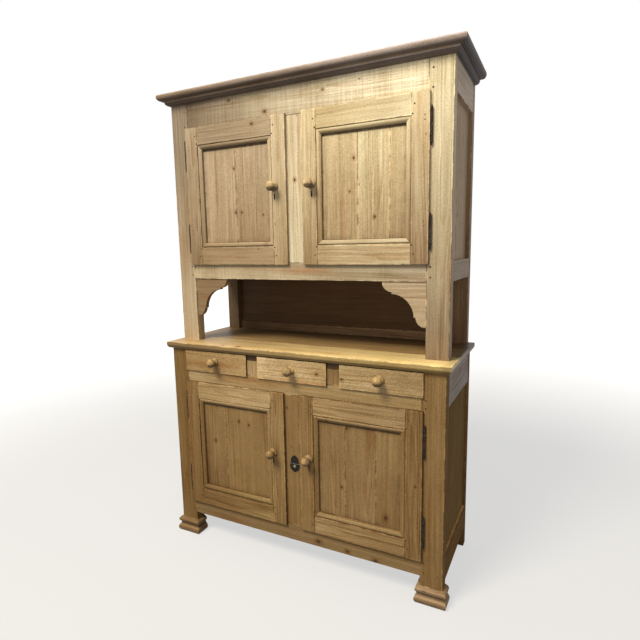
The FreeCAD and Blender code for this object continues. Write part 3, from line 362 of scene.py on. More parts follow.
def ironShader(name, look, nailsPainted=False, bush=False):
    s = Shader(name)
    place = s.node("TexCoord", output=3)
    patches, grains = s.noise(place, *look["patches"]), s.noise(place, *look["grains"])
    base = s.blend(patches.step(*look["rusted"]), opaque(look["dark"]), opaque(look["rust"]))
    base = s.blend(grains.step(*look["rubbed"]) * look["wear"], base, opaque(look["bright"]))
    metal = look["metal"]
    x, _, z = s.split(place)
    if nailsPainted:  # the nails in the stiles are filled over and take the wood's colour
        head = x.math("ABSOLUTE").math("LESS_THAN", look["stileEdge"])
        base = s.blend(head * look["nailCover"], base, opaque(look["nailHead"]))
        metal = (1.0 - head) * metal
    if bush:
        offX, offZ = x - look["bushAt"][0], z - look["bushAt"][1]
        away = (offX * offX + offZ * offZ).math("SQRT")
        pale = away.step(*look["bushRim"]) * away.step(*look["bushHole"])
        base = s.blend(pale * look["bushCover"], base, opaque(look["bush"]))
        # the rib across the plate is painted pale: painted highlight
        rib = (z - look["ribAt"]).math("ABSOLUTE").step(*look["ribEdge"])
        base = s.blend(rib * look["ribCover"], base, opaque(look["rib"]))
    s.feed("Base Color", base)
    s.feed("Metallic", metal)
    s.feed("Specular IOR Level", look["gloss"])
    s.feed("Roughness", patches * 0.3 + look["roughness"])
    s.bump(grains + patches * 0.6, look["relief"], look["reliefDepth"])
    return s.material


# The keyholes of the left door and the right one, where the doors are cut and the slot is painted
# near-black, as painted shade inside the hole
keyholes = {"upper": ((-0.094, 1.612), (0.082, 1.612)), "lower": ((-0.094, 0.470), (0.082, 0.470))}

# What each kind of woodwork has of its own
pineKinds = {
    "boardPine": {},
    "sawnPine": {"sawMarks": 0.72, "mottle": 0.95, "flame": (226, 164, 104)},
    # the doors' side faces and gaps are painted dark, their down-facing slopes darker and their keyholes
    # near-black: painted shade; the lower doors' edges are rubbed lighter, wear with painted highlight
    "upperDoorPine": {"paintedSideShade": 0.18, "grimeAndGapShadeDepth": 0.60, "underShade": 0.45, "figure": 0.75,
                      "specks": 0.45, "ringDepth": 0.20, "keyholes": keyholes["upper"]},
    "lowerDoorPine": {"paintedSideShade": 0.62, "grimeAndGapShadeDepth": 0.70, "underShade": 0.45, "figure": 1.35,
                      "specks": 0.85, "ringDepth": 0.34, "keyholes": keyholes["lower"], "worn": 1.7,
                      "dirtAndShade": (58, 33, 14)},
    # the drawers' side faces and edges are painted dark: grime with painted shade
    "drawerPine": {"paintedSideShade": 0.85, "grimeAndGapShadeDepth": 0.85, "figure": 1.35, "specks": 0.9, "mottle": 0.68},
    # what faces up on the base's sides, front posts and back is painted much lighter: painted highlight
    "sidePine": {"paintedUpLight": 3.0, "gloss": 0.02, "roughness": 0.75},
    # the counter's front faces and underside are painted darker, and so are its right end behind the post
    # and its back under the hutch: painted shade and shadow
    "counterPine": {"nickShare": 0.03, "roughness": 0.46, "frontShade": 0.42, "underShade": 0.50,
                    "paintedLightBands": ((0, 0.626, 0.652, 0.72), (1, -0.190, -0.140, 0.74), (1, -0.12, 0.22, 0.58))},
    # a bright line along the bead's top and a nose that lightens toward its top: painted highlight; darker
    # between them: painted shade
    "mouldingPine": {"grimeAndGapShadeDepth": 0.3, "mottle": 0.8,
                     "paintedLightBands": ((2, 2.0600, 2.0622, 3.6), (2, 2.0664, 2.0674, 0.25),
                               (2, 2.0690, 2.0820, 2.4), (2, 2.0800, 2.0940, 1.6))},
    # what faces up is painted lighter: painted highlight; the scotia's hollow and the floor end are painted
    # darker: painted shade; the top slope is darker too and the edges are rubbed lighter
    "footPine": {"paintedUpLight": 1.8, "nickShare": 0.6, "nickReach": 0.24, "mottle": 1.3, "fibre": 0.6,
                 "worn": 1.6, "streaks": 1.0, "grimeAndGapShadeDepth": 0.9,
                 "paintedLightBands": ((2, 0.0290, 0.0330, 0.5), (2, 0.0420, 0.0470, 1.9),
                           (2, 0.0060, 0.0010, 0.4), (2, 0.0620, 0.0660, 0.6))},
    # a knob's underside, neck, turned line and head rim are painted dark: painted shade
    "turnedPine": {"roughness": 0.36, "coat": 0.25, "grimeAndGapShadeDepth": 0.2, "neck": 0.0125, "underShade": 0.22,
                   "rings": ((0.0108, 0.0013, 0.60), (0.0192, 0.0016, 0.70))},
}
plateOwn = {"dark": (9, 8, 8), "rust": (30, 22, 16), "wear": 0.35}

addCamera(camera)
finishes = {name: pineShader(name, {**pine, **own}) for name, own in pineKinds.items()}
for axis in "XY":
    finishes["insidePine" + axis] = pineShader("insidePine" + axis, pine, axis, (158, 128, 86))
finishes["pegPine"] = pineShader("pegPine", {**pine, "roughness": 0.62}, "Y", (88, 64, 40))
finishes["oldIron"] = ironShader("oldIron", iron)
finishes["hingeIron"] = ironShader("hingeIron", iron, nailsPainted=True)
finishes["plateIron"] = ironShader("plateIron", {**iron, **plateOwn}, bush=True)
print("camera and finishes ready")


# Modelling helpers
def deselectAll():
    bpy.ops.object.select_all(action="DESELECT")


def editMode(kind="EDGE"):
    bpy.ops.object.mode_set(mode="EDIT")
    bpy.ops.mesh.select_mode(type=kind)


def objectMode():
    bpy.ops.object.mode_set(mode="OBJECT")


def selectMesh(action):
    bpy.ops.mesh.select_all(action=action)


def pickEdges(piece, wanted):
    editMode("EDGE")
    selectMesh("DESELECT")
    objectMode()
    points = piece.data.vertices
    for edge in piece.data.edges:
        edge.select = wanted(points[edge.vertices[0]].co, points[edge.vertices[1]].co)
    editMode("EDGE")


# How far chance shifts a board's grain, turns it and tones it, and where it sets small knots
luck = {"along": (2, 40), "aside": 0.6, "deep": (0.025, 0.07), "lean": 0.02, "drift": (0.96, 1.04),
        "knotMost": 0.08, "knotRate": 5, "knotAlong": 0.9, "knotAside": 0.75, "knotRadius": (0.002, 0.0042)}


# Writes where each point lies on its board, so that grain, edges and knots follow the board. Knots are
# (place along the grain, place across it, radius); sight is the opening that the board shows through
def markGrain(piece, grainAxis, startTone, endTone=None, knots=(), sight=None, edges=True):
    def either(reach):
        return dice.uniform(-reach, reach)

    mesh = piece.data
    low = Vector([min(corner[axis] for corner in piece.bound_box) for axis in range(3)])
    high = Vector([max(corner[axis] for corner in piece.bound_box) for axis in range(3)])
    middle, size = (low + high) / 2, high - low
    axis = "XYZ".index(grainAxis)
    order = [axis] + sorted((other for other in range(3) if other != axis), key=lambda other: -size[other])
    half = [size[other] / 2 for other in order]
    centre = [middle[other] for other in order]
    shift = (dice.uniform(*luck["along"]), either(luck["aside"]) * half[1], dice.uniform(*luck["deep"]))
    slopes = (either(luck["lean"]), either(luck["lean"]))
    start, end = linear(startTone), linear(endTone or startTone)
    drift = dice.uniform(*luck["drift"])  # no two boards are quite one colour
    placed = [(a - centre[0], b - centre[1], radius) for a, b, radius in knots]
    for number in range(3):
        present = dice.random() < min(luck["knotMost"], luck["knotRate"] * half[0] * half[1])
        place = (either(luck["knotAlong"]) * half[0], either(luck["knotAside"]) * half[1])
        if number >= len(placed):
            placed.append(place + (dice.uniform(*luck["knotRadius"]) if present else 0.0,))
    values = {name: [] for name in ("grain", "edge", "half", "tone", "knot0", "knot1", "knot2",
                                    "sight", "sightHalf")}
    for point in mesh.vertices:
        local = [point.co[other] - middle[other] for other in order]
        values["edge"].extend(local)
        values["half"].extend(half if edges else [1.0, 1.0, 1.0])
        values["grain"].extend((local[0] + shift[0], local[1] + shift[1] + local[0] * slopes[0],
                                local[2] + shift[2] + local[0] * slopes[1]))
        for number, (a, b, radius) in enumerate(placed):
            values["knot%d" % number].extend((local[0] - a, local[1] - b, radius))
        if sight:
            a0, a1, b0, b1 = sight
            values["sight"].extend((local[0] + centre[0] - (a0 + a1) / 2,
                                    local[1] + centre[1] - (b0 + b1) / 2, 1.0))
            values["sightHalf"].extend(((a1 - a0) / 2, (b1 - b0) / 2, 0.0))
        share = local[0] / (2 * half[0]) + 0.5
        values["tone"].extend([(a + (b - a) * share) * drift for a, b in zip(start, end)] + [1.0])
    for name, numbers in values.items():
        if name == "tone":
            mesh.attributes.new(name, "FLOAT_COLOR", "POINT").data.foreach_set("color", numbers)
        elif numbers:
            mesh.attributes.new(name, "FLOAT_VECTOR", "POINT").data.foreach_set("vector", numbers)
    return piece


def applyPlace():
    bpy.ops.object.transform_apply(location=True, rotation=True, scale=True)


def addCube(size, place):
    deselectAll()
    bpy.ops.mesh.primitive_cube_add(size=1, scale=size, location=place)
    applyPlace()
    return bpy.context.object


def addBlock(place, rounding):
    x0, x1, y0, y1, z0, z1 = place
    block = addCube((x1 - x0, y1 - y0, z1 - z0), ((x0 + x1) / 2, (y0 + y1) / 2 + frontY, (z0 + z1) / 2))
    editMode()
    bpy.ops.mesh.bevel(offset=rounding, segments=2, profile=0.6, affect="EDGES")
    objectMode()
    return block


def addSection(points, run):
    deselectAll()
    bpy.ops.mesh.primitive_circle_add(vertices=len(points), radius=0.1, fill_type="NGON")
    piece = bpy.context.object
    for vertex, point in zip(piece.data.vertices, points):
        vertex.co = Vector(point) + Vector((0, frontY, 0))
    editMode("FACE")
    bpy.ops.mesh.extrude_region_move(TRANSFORM_OT_translate={"value": run})
    selectMesh("SELECT")
    bpy.ops.mesh.normals_make_consistent(inside=False)
    objectMode()
    return piece


def mitre(piece, point, normal):
    deselectAll()
    piece.select_set(True)
    bpy.context.view_layer.objects.active = piece
    editMode("FACE")
    selectMesh("SELECT")
    bpy.ops.mesh.bisect(plane_co=(point[0], point[1] + frontY, point[2]), plane_no=normal,
                        use_fill=True, clear_outer=True)
    objectMode()


def modify(piece, kind, **settings):
    bpy.context.view_layer.objects.active = piece
    modifier = piece.modifiers.new(kind, kind)
    for key, value in settings.items():
        setattr(modifier, key, value)
    bpy.ops.object.modifier_apply(modifier=modifier.name)
    return piece


def softenEdges(piece, width, angle=32):
    return modify(piece, "BEVEL", width=width, segments=2, limit_method="ANGLE",
                  angle_limit=math.radians(angle))


def cutAway(piece, tool):
    modify(piece, "BOOLEAN", object=tool, solver="EXACT")
    bpy.data.objects.remove(tool)


# The pocket in a muntin that a door's bolt shoots into
mortise = {"reach": 0.012, "clearance": 0.0003, "overrun": 0.001}


def mortiseTool(door, size):
    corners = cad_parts[door + "_door_lock_bolt"].bound_box
    lows = Vector([min(corner[axis] for corner in corners) - size["clearance"] for axis in range(3)])
    highs = Vector([max(corner[axis] for corner in corners) + size["clearance"] for axis in range(3)])
    if door.endswith("left"):
        lows.x, highs.x = highs.x - size["overrun"], highs.x + size["reach"]
    else:
        lows.x, highs.x = lows.x - size["reach"], lows.x + size["overrun"]
    return addCube(highs - lows, (lows + highs) / 2)


def addBoard(place, grainAxis, startTone, endTone=None, knots=(), sight=None, rounding=0.0013, bolted=()):
    piece = addBlock(place, rounding)
    for door in bolted:
        cutAway(piece, mortiseTool(door, mortise))
    return markGrain(piece, grainAxis, startTone, endTone, knots=knots, sight=sight)


def finishPiece(name, parts, finish, body, smoothAngle=35):
    deselectAll()
    for part in parts:
        part.select_set(True)
    whole = parts[0]
    bpy.context.view_layer.objects.active = whole
    if len(parts) > 1:
        bpy.ops.object.join()
    applyPlace()
    bpy.ops.object.shade_smooth_by_angle(angle=math.radians(smoothAngle))
    modify(whole, "WEIGHTED_NORMAL", keep_sharp=True)
    whole.name = whole.data.name = name
    whole.data.materials.clear()
    whole.data.materials.append(finishes[finish])
    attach(whole, body)
    return whole


def replaceNode(node, parts, finish, body="carcass"):
    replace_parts(finishPiece(node + "_wood", parts, finish, body), node)


def buildBoards(node, boards, finish="boardPine", bolted=()):
    parts = [addBoard(*board, bolted=bolted if name == "middle" else ()) for name, board in boards.items()]
    replaceNode(node, parts, finish)


def arc(start, middle, end, steps):
    (ax, ay), (bx, by), (cx, cy) = start, middle, end
    d = 2 * (ax * (by - cy) + bx * (cy - ay) + cx * (ay - by))
    a, b, c = ax * ax + ay * ay, bx * bx + by * by, cx * cx + cy * cy
    ux = (a * (by - cy) + b * (cy - ay) + c * (ay - by)) / d
    uy = (a * (cx - bx) + b * (ax - cx) + c * (bx - ax)) / d
    radius = math.hypot(ax - ux, ay - uy)
    first, second, third = (math.atan2(y - uy, x - ux) for x, y in (start, middle, end))
    turn = sum((far - near + math.pi) % (2 * math.pi) - math.pi
               for near, far in ((first, second), (second, third)))
    turns = [first + turn * n / steps for n in range(steps + 1)]
    return [(ux + radius * math.cos(a), uy + radius * math.sin(a)) for a in turns]


def spread(low, high, shares):
    ends = [low] + [low + (high - low) * share for share in shares] + [high]
    return list(zip(ends, ends[1:]))


# Base frame. Each board: its place (x, depth and height, low to high), grain, tones at its two ends. The
# tones are the wood's colour with some painted light in them: the base toned darker than the hutch, as the
# light fell from above
baseFrontPosts = {
    "left": ((-0.650, -0.560, 0.000, 0.050, 0.000, 0.935), "Z", (125, 100, 65), (120, 95, 61)),
    "right": ((0.560, 0.650, 0.000, 0.050, 0.000, 0.935), "Z", (129, 104, 69), (137, 111, 75)),
}
baseFrontRails = {
    "bottom": ((-0.560, 0.560, 0.000, 0.032, 0.110, 0.185), "X", (125, 102, 68), (131, 107, 73),
               [(0.114, 0.134, 0.0065), (0.251, 0.125, 0.005), (0.376, 0.117, 0.006)]),
    "middle": ((-0.560, 0.560, 0.000, 0.032, 0.777, 0.843), "X", (169, 147, 109), (154, 130, 90)),
    # the top rail, in shadow under the counter's edge, is toned dark: painted shadow
    "top": ((-0.560, 0.560, 0.000, 0.032, 0.910, 0.935), "X", (58, 41, 23), (78, 56, 33)),
}
baseFrontMuntins = {
    "middle": ((-0.045, 0.045, 0.000, 0.032, 0.185, 0.777), "Z", (127, 100, 61), (129, 102, 65)),
    "left": ((-0.233, -0.160, 0.000, 0.032, 0.843, 0.910), "Z", (168, 144, 110), (154, 130, 90)),
    "right": ((0.160, 0.233, 0.000, 0.032, 0.843, 0.910), "Z", (138, 112, 75), (118, 94, 60)),
}
baseBackFrame = {
    "leftPost": ((-0.650, -0.585, 0.440, 0.480, 0.000, 0.935), "Z", (116, 88, 56), (134, 106, 72)),
    "rightPost": ((0.585, 0.650, 0.440, 0.480, 0.000, 0.935), "Z", (112, 86, 54), (128, 100, 66)),
    "bottomRail": ((-0.585, 0.585, 0.455, 0.480, 0.110, 0.180), "X", (122, 96, 62)),
    "topRail": ((-0.585, 0.585, 0.455, 0.480, 0.803, 0.935), "X", (132, 106, 72)),
}
# the hutch's panels are toned lighter than the base's, partly as painted light from above
panelTones = {"baseLeft": (130, 102, 66), "baseRight": (125, 102, 65), "hutchLeft": (176, 152, 122),
              "hutchRight": (185, 159, 129), "baseBack": (126, 100, 66), "hutchBack": (150, 126, 96)}


def sideRails(inner, outer, y0, y1, rails):  # each rail: low, high, the left one's tone, the right one's
    boards = {}
    for side in (-1, 1):
        x0, x1 = sorted((side * inner, side * outer))
        for number, (low, high, *tones) in enumerate(rails):
            boards[side, number] = ((x0, x1, y0, y1, low, high), "Y", tones[side > 0])
    return boards


def sideBoards(half, y0, y1, z0, z1, leftTone, rightTone):
    boards = {}
    for number, (low, high) in enumerate(spread(y0, y1, (1 / 3, 2 / 3))):
        boards["left%d" % number] = ((-half - 0.012, -half, low, high, z0, z1), "Z", leftTone)
        boards["right%d" % number] = ((half, half + 0.012, low, high, z0, z1), "Z", rightTone)
    return boards


def backBoards(half, z0, z1, tone):
    return {number: ((low, high, 0.4625, 0.4725, z0, z1), "Z", tone)
            for number, (low, high) in enumerate(spread(-half, half, [n / 6 for n in range(1, 6)]))}


# the right upper side rail's pale grey tone is partly painted sheen
baseSideRails = sideRails(0.625, 0.650, 0.050, 0.440, ((0.088, 0.205, (130, 102, 66), (116, 90, 55)),
                                                       (0.795, 0.935, (142, 118, 86), (183, 175, 175))))
buildBoards("base_front_posts", baseFrontPosts, "sidePine")
buildBoards("base_front_rails", baseFrontRails)
buildBoards("base_front_muntins", baseFrontMuntins, bolted=("lower_left", "lower_right"))
buildBoards("base_side_rails", baseSideRails, "sidePine")
buildBoards("base_back_frame", baseBackFrame, "sidePine")
buildBoards("base_side_panels", sideBoards(0.629, 0.042, 0.448, 0.197, 0.803, panelTones["baseLeft"],
                                           panelTones["baseRight"]), "sidePine")
buildBoards("base_back_boards", backBoards(0.593, 0.172, 0.811, panelTones["baseBack"]))
print("base frame ready")

# Countertop: three boards, crisp on top and rounded far under the edge at the front and sides
counter = {"halfWidth": 0.670, "front": -0.020, "back": 0.480, "low": 0.935, "high": 0.966,
           "joints": (0.34, 0.68), "topRadius": 0.004, "underRadius": 0.018, "seamRadius": 0.001,
           # the boards' tones are the wood's colour with painted light in them: lighter toward the right,
           # and the back board darker toward its right end as painted shadow
           "boards": (((188, 158, 115), (250, 222, 156), [(-0.276, -0.200, 0.006)]),
                      ((179, 149, 105), (163, 133, 87), [(0.231, -0.111, 0.006)]),
                      ((177, 147, 105), (128, 100, 66), []))}


def same(a, b):  # alike to a tenth of a millimetre
    return abs(a - b) < 1e-4


def buildCounter(size):
    parts = []
    half, low, high = size["halfWidth"], size["low"], size["high"]
    for (y0, y1), (startTone, endTone, knots) in zip(spread(size["front"], size["back"], size["joints"]),
                                                     size["boards"]):
        piece = addCube((2 * half, y1 - y0, high - low), (0, (y0 + y1) / 2 + frontY, (low + high) / 2))
        # an edge that faces a joint or the back stays square but for a slight softening
        inner = [y + frontY for y in (y0, y1) if y != size["front"]]
        for height, radius in ((low, size["underRadius"]), (high, size["topRadius"])):
            pickEdges(piece, lambda a, b: same(a.z, height) and same(b.z, height)
                      and not any(same(a.y, y) and same(b.y, y) for y in inner))
            bpy.ops.mesh.bevel(offset=radius, segments=6, affect="EDGES")
            objectMode()
        pickEdges(piece, lambda a, b: same(a.z, b.z) and abs(a.x - b.x) > half
                  and any(same(a.y, y) for y in inner))
        bpy.ops.mesh.bevel(offset=size["seamRadius"], segments=2, affect="EDGES")
        objectMode()
        parts.append(markGrain(piece, "X", startTone, endTone, knots=knots))
    replaceNode("countertop", parts, "counterPine")


# Feet: torus, scotia and ring, mitred round three faces of each front post. Points are (reach, height)
foot = {"inner": 0.560, "outer": 0.650, "postThickness": 0.050, "mitreReach": 0.022, "height": 0.071,
        "torus": ((0.013, 0.000), (0.019, 0.015), (0.013, 0.030)),
        "scotia": ((0.0115, 0.032), (0.0075, 0.039), (0.0115, 0.046)),
        "ring": ((0.0115, 0.046), (0.016, 0.056), (0.0125, 0.065)),
        "tones": {-1: (121, 98, 68), 1: (146, 123, 96)}}


def footSection(size):
    points = [(0, 0), size["torus"][0]]
    points += arc(*size["torus"], 10)[1:] + [size["scotia"][0]]
    points += arc(*size["scotia"], 6)[1:] + arc(*size["ring"], 8)[1:]
    return points + [(0, size["height"])]


def buildFeet(size):
    section = footSection(size)
    inner, outer, reach, deep = size["inner"], size["outer"], size["mitreReach"], size["postThickness"]
    parts = []
    for side, tone in size["tones"].items():
        front = addSection([(side * (inner - reach), -out, z) for out, z in section],
                           (side * (outer - inner + 2 * reach), 0, 0))
        mitre(front, (side * outer, 0, 0), (side, 1, 0))
        mitre(front, (side * inner, 0, 0), (-side, 1, 0))
        parts.append(markGrain(front, "X", tone))
        for x, facing in ((outer, 1), (inner, -1)):
            run = addSection([(side * (x + facing * out), -reach, z) for out, z in section],
                             (0, deep + reach, 0))
            mitre(run, (side * x, 0, 0), (-side * facing, -1, 0))
            parts.append(markGrain(run, "Y", tone))
    replaceNode("front_feet", parts, "footPine")


buildCounter(counter)
buildFeet(foot)
print("counter and feet ready")

# Hutch frame. Its tones are the wood's colour with painted light in them: lighter toward the right, most at
# the top right, as the light fell
hutchFrontPosts = {
    "left": ((-0.642, -0.552, 0.073, 0.118, 0.966, 2.080), "Z", (181, 162, 133), (133, 120, 105)),
    "right": ((0.552, 0.642, 0.073, 0.118, 0.966, 2.080), "Z", (131, 111, 88), (231, 218, 183)),
}
hutchFrontRails = {
    "frieze": ((-0.552, 0.552, 0.073, 0.105, 1.932, 2.080), "X", (115, 97, 77), (238, 225, 194),
               [(-0.318, 2.030, 0.004), (-0.137, 1.961, 0.005), (0.133, 2.006, 0.003)]),
    "bottom": ((-0.552, 0.552, 0.073, 0.105, 1.262, 1.335), "X", (181, 164, 134), (165, 151, 127)),
}
hutchMuntin = {
    "middle": ((-0.045, 0.045, 0.073, 0.105, 1.335, 1.932), "Z", (207, 196, 170), (197, 181, 151)),
}
hutchSideRails = sideRails(0.600, 0.642, 0.118, 0.435, ((1.262, 1.340, (172, 150, 122), (156, 139, 120)),
                                                        (1.935, 2.080, (178, 156, 128), (214, 196, 177))))
hutchBackFrame = {
    # the back posts and niche rail are toned darker low and to the left, where they stand in the niche:
    # partly painted shade
    "leftPost": ((-0.642, -0.577, 0.435, 0.480, 0.966, 2.080), "Z", (92, 75, 53), (120, 98, 70)),
    "rightPost": ((0.577, 0.642, 0.435, 0.480, 0.966, 2.080), "Z", (118, 92, 66), (160, 140, 114)),
    "nicheRail": ((-0.577, 0.577, 0.455, 0.480, 0.966, 1.006), "X", (84, 65, 43), (150, 121, 88)),
    "middleRail": ((-0.577, 0.577, 0.455, 0.480, 1.262, 1.335), "X", (120, 94, 66)),
    "topRail": ((-0.577, 0.577, 0.455, 0.480, 2.005, 2.080), "X", (140, 116, 86)),
}
hutchTopBoards = {
    number: ((-0.642, 0.642, low, high, 2.080, 2.092), "X", (112, 98, 84))
    for number, (low, high) in enumerate(spread(0.073, 0.480, (0.36, 0.7)))}
# the niche's back board is toned dark: the wood's colour with the niche's shade painted in
nicheBack = {"board": ((-0.585, 0.585, 0.4625, 0.4725, 0.998, 1.270), "X", (76, 54, 31), (90, 66, 40))}

buildBoards("hutch_front_posts", hutchFrontPosts)
buildBoards("hutch_front_rails", hutchFrontRails, "sawnPine")
buildBoards("hutch_muntin", hutchMuntin, bolted=("upper_left", "upper_right"))
buildBoards("hutch_side_rails", hutchSideRails)
buildBoards("hutch_back_frame", hutchBackFrame)
buildBoards("hutch_side_panels", sideBoards(0.614, 0.110, 0.443, 1.332, 1.943, panelTones["hutchLeft"],
                                            panelTones["hutchRight"]))
buildBoards("hutch_back_boards", {**nicheBack, **backBoards(0.585, 1.327, 2.013, panelTones["hutchBack"])})
buildBoards("hutch_top_boards", hutchTopBoards)

# Brackets in the niche's upper corners: two lobes and a cove, sawn from one board each
bracket = {"corner": (0.552, 1.262), "y": (0.078, 0.100), "reach": 0.176, "lobeStart": 0.012,
           "lobeDepth": 0.042, "lobeReach": 0.138, "bulge": 0.006, "ledge": 0.007, "toe": 0.050,
           # the right bracket is toned lighter than the left, partly as painted light
           "rounding": 0.0012, "tones": {-1: (132, 110, 83), 1: (179, 161, 134)}}


def bracketOutline(size):
    cornerShare = math.sqrt(0.5)
    reach, lobeReach, lobeDepth = size["reach"], size["lobeReach"], size["lobeDepth"]
    farReach = lobeReach + (reach - lobeReach) * cornerShare - size["bulge"] / 2
    farDepth = lobeDepth - (lobeDepth - size["lobeStart"]) * (1 - cornerShare)
    coveMiddle = size["toe"] + (lobeReach - size["toe"]) * (1 - cornerShare)
    coveStart = lobeDepth + size["ledge"]
    lobe = arc((reach, size["lobeStart"]), (farReach, farDepth), (lobeReach, lobeDepth), 8)
    cove = arc((lobeReach, coveStart), (coveMiddle, coveMiddle), (coveStart, lobeReach), 14)
    return [(0, 0), (reach, 0)] + lobe + cove + [(b, a) for a, b in reversed(lobe)] + [(0, reach)]


def buildBrackets(size):
    x, z = size["corner"]
    y0, y1 = size["y"]
    parts = []
    for side, tone in size["tones"].items():
        outline = [(side * (x - reach), y0, z - drop) for reach, drop in bracketOutline(size)]
        piece = softenEdges(addSection(outline, (0, y1 - y0, 0)), size["rounding"])
        parts.append(markGrain(piece, "X", tone))
    replaceNode("niche_brackets", parts, "boardPine")


# Cornice: bead, ledge, round and nose, mitred at the front corners. Points are (reach, height), the
# heights counted from low, but the nose's from top
cornice = {"half": 0.642, "front": 0.073, "low": 2.046, "top": 2.095, "backEnd": 0.468, "reach": 0.049,
           "bead": ((0.004, 0.003), (0.0175, 0.009), (0.0205, 0.017)),
           "ledge": ((0.0205, 0.021), (0.028, 0.021)),
           "round": ((0.028, 0.021), (0.042, 0.027), (0.046, 0.037)),
           "nose": ((0.046, -0.006), (0.04424, -0.00176), (0.040, 0)),
           "frontTones": ((84, 72, 61), (107, 98, 95)),
           "sideTones": {-1: ((74, 62, 52), (74, 62, 52)), 1: ((69, 62, 62), (74, 67, 67))}}


def corniceSection(size):
    def raised(name, height):
        return [(out, height + rise) for out, rise in size[name]]

    low, top = size["low"], size["top"]
    bead = raised("bead", low)
    points = [(0, low), bead[0]] + arc(*bead, 8)[1:]
    points += raised("ledge", low) + arc(*raised("round", low), 8)[1:]
    return points + arc(*raised("nose", top), 4) + [(0, top)]


def buildCornice(size):
    section = corniceSection(size)
    half, front, reach = size["half"], size["front"], size["reach"]
    run = addSection([(-half - reach, front - out, z) for out, z in section], (2 * (half + reach), 0, 0))
    mitre(run, (half, front, 0), (1, 1, 0))
    mitre(run, (-half, front, 0), (-1, 1, 0))
    parts = [markGrain(run, "X", *size["frontTones"])]
    for side, tones in size["sideTones"].items():
        run = addSection([(side * (half + out), front - reach, z) for out, z in section],
                         (0, size["backEnd"] - front + reach, 0))
        mitre(run, (side * half, front, 0), (-side, -1, 0))
        parts.append(markGrain(run, "Y", *tones))
    replaceNode("cornice_moulding", parts, "mouldingPine")


buildBrackets(bracket)
buildCornice(cornice)
print("hutch frame and cornice ready")

# Doors: stiles and rails with a worked inner edge, a panel of boards, pegs and a keyhole
door = {"stile": 0.067, "rail": 0.079, "moulding": 0.020, "panelBack": 0.0145, "panelThickness": 0.008,
        "panelRounding": 0.0012, "lip": 0.0117, "thickness": 0.027, "rebate": 0.011, "groove": 0.007,
        "rounding": 0.0016, "keyholeRadius": 0.003, "keyholeWidth": 0.0032, "keyholeHeight": 0.020,
        "keyholeFrom": -0.005, "keyholeDepth": 0.025,
        "pegRadius": 0.0032, "pegLength": 0.004, "pegCentre": 0.0014, "pegRounding": 0.0005,
        "pegInset": 0.011, "pegRows": ((0.5, 0), (0.93, 0.007)),  # (share of the rail's width, shift)
        # the worked edge from the flat inwards, as (share of its width, depth): a quirk, then a round
        "hollow": ((0, 0.0046), (0.10, 0.0046)), "rise": ((0.10, 0.0046), (0.17, 0.0022), (0.34, 0.0013)),
        "fall": ((0.34, 0.0013), (0.72, 0.0027), (1, 0.0058))}
doorTiers = {"upper": {"x": (0.037, 0.560), "z": (1.327, 1.940), "face": 0.061},
             "lower": {"x": (0.037, 0.568), "z": (0.177, 0.785), "face": -0.012}}
# the upper doors' tones lighten toward the top and the right: the wood's colour with painted light in it
doors = {
    "upper_left": {
        "joints": (0.5,), "knob": (175, 153, 115),
        "knots": [(1.746, -0.307, 0.0032), (1.557, -0.306, 0.0034), (1.556, -0.274, 0.0032)],
        "topRail": ((169, 150, 125), (145, 128, 105)), "bottomRail": ((164, 143, 115), (154, 132, 101)),
        "lockStile": ((170, 149, 115), (207, 190, 159)), "hingeStile": ((141, 119, 91), (173, 155, 130)),
        "panels": (((154, 133, 104), (179, 160, 133)), ((166, 145, 115), (170, 151, 125)))},
    "upper_right": {
        "joints": (0.44, 0.8), "knob": (205, 180, 140),
        "knots": [(1.738, 0.261, 0.0038), (1.612, 0.243, 0.0025), (1.511, 0.347, 0.0036)],
        "topRail": ((193, 172, 132), (221, 208, 173)), "bottomRail": ((176, 157, 123), (195, 180, 149)),
        "lockStile": ((150, 128, 94), (216, 200, 164)), "hingeStile": ((143, 119, 90), (218, 202, 166)),
        "panels": (((167, 145, 112), (202, 182, 145)), ((179, 157, 123), (220, 206, 169)),
                   ((163, 141, 107), (209, 189, 150)))},
    "lower_left": {
        "joints": (0.65,), "knob": (136, 109, 66),
        "knots": [(0.618, -0.285, 0.0036), (0.608, -0.230, 0.0034), (0.504, -0.423, 0.0036)],
        "topRail": ((182, 157, 119), (161, 135, 95)), "bottomRail": ((149, 124, 81), (117, 90, 53)),
        "lockStile": ((135, 109, 69), (152, 127, 88)), "hingeStile": ((120, 93, 54), (130, 103, 65)),
        "panels": (((133, 106, 66), (133, 107, 70)), ((122, 95, 59), (138, 113, 74)))},
    "lower_right": {
        "joints": (0.34, 0.7), "knob": (142, 115, 78),
        "knots": [(0.668, 0.252, 0.0036), (0.317, 0.419, 0.0060), (0.408, 0.227, 0.0034)],
        "topRail": ((160, 134, 95), (151, 126, 91)), "bottomRail": ((150, 124, 86), (138, 113, 75)),
        "lockStile": ((134, 107, 69), (135, 108, 69)), "hingeStile": ((131, 104, 67), (122, 96, 59)),
        "panels": (((142, 116, 79), (131, 106, 70)), ((140, 115, 79), (136, 110, 73)),
                   ((128, 102, 66), (142, 117, 78)))},
}


def keyholePlace(name):  # x, the door's face and z
    tier, hand = name.split("_")
    x, z = keyholes[tier][hand == "right"]
    return x, doorTiers[tier]["face"], z


def memberOutline(width, size):
    lip, rebate, thick = size["lip"], size["rebate"], size["thickness"]
    return [(0, 0), (width, 0), (width, thick), (rebate, thick), (rebate, lip), (0, lip)]


def mouldingOutline(flat, size):
    def worked(name):
        return [(flat + share * size["moulding"], depth) for share, depth in size[name]]

    curve = worked("hollow") + arc(*worked("rise"), 5)[1:] + arc(*worked("fall"), 7)[1:]
    return curve + [(flat + size["moulding"], size["thickness"]), (flat, size["thickness"])]


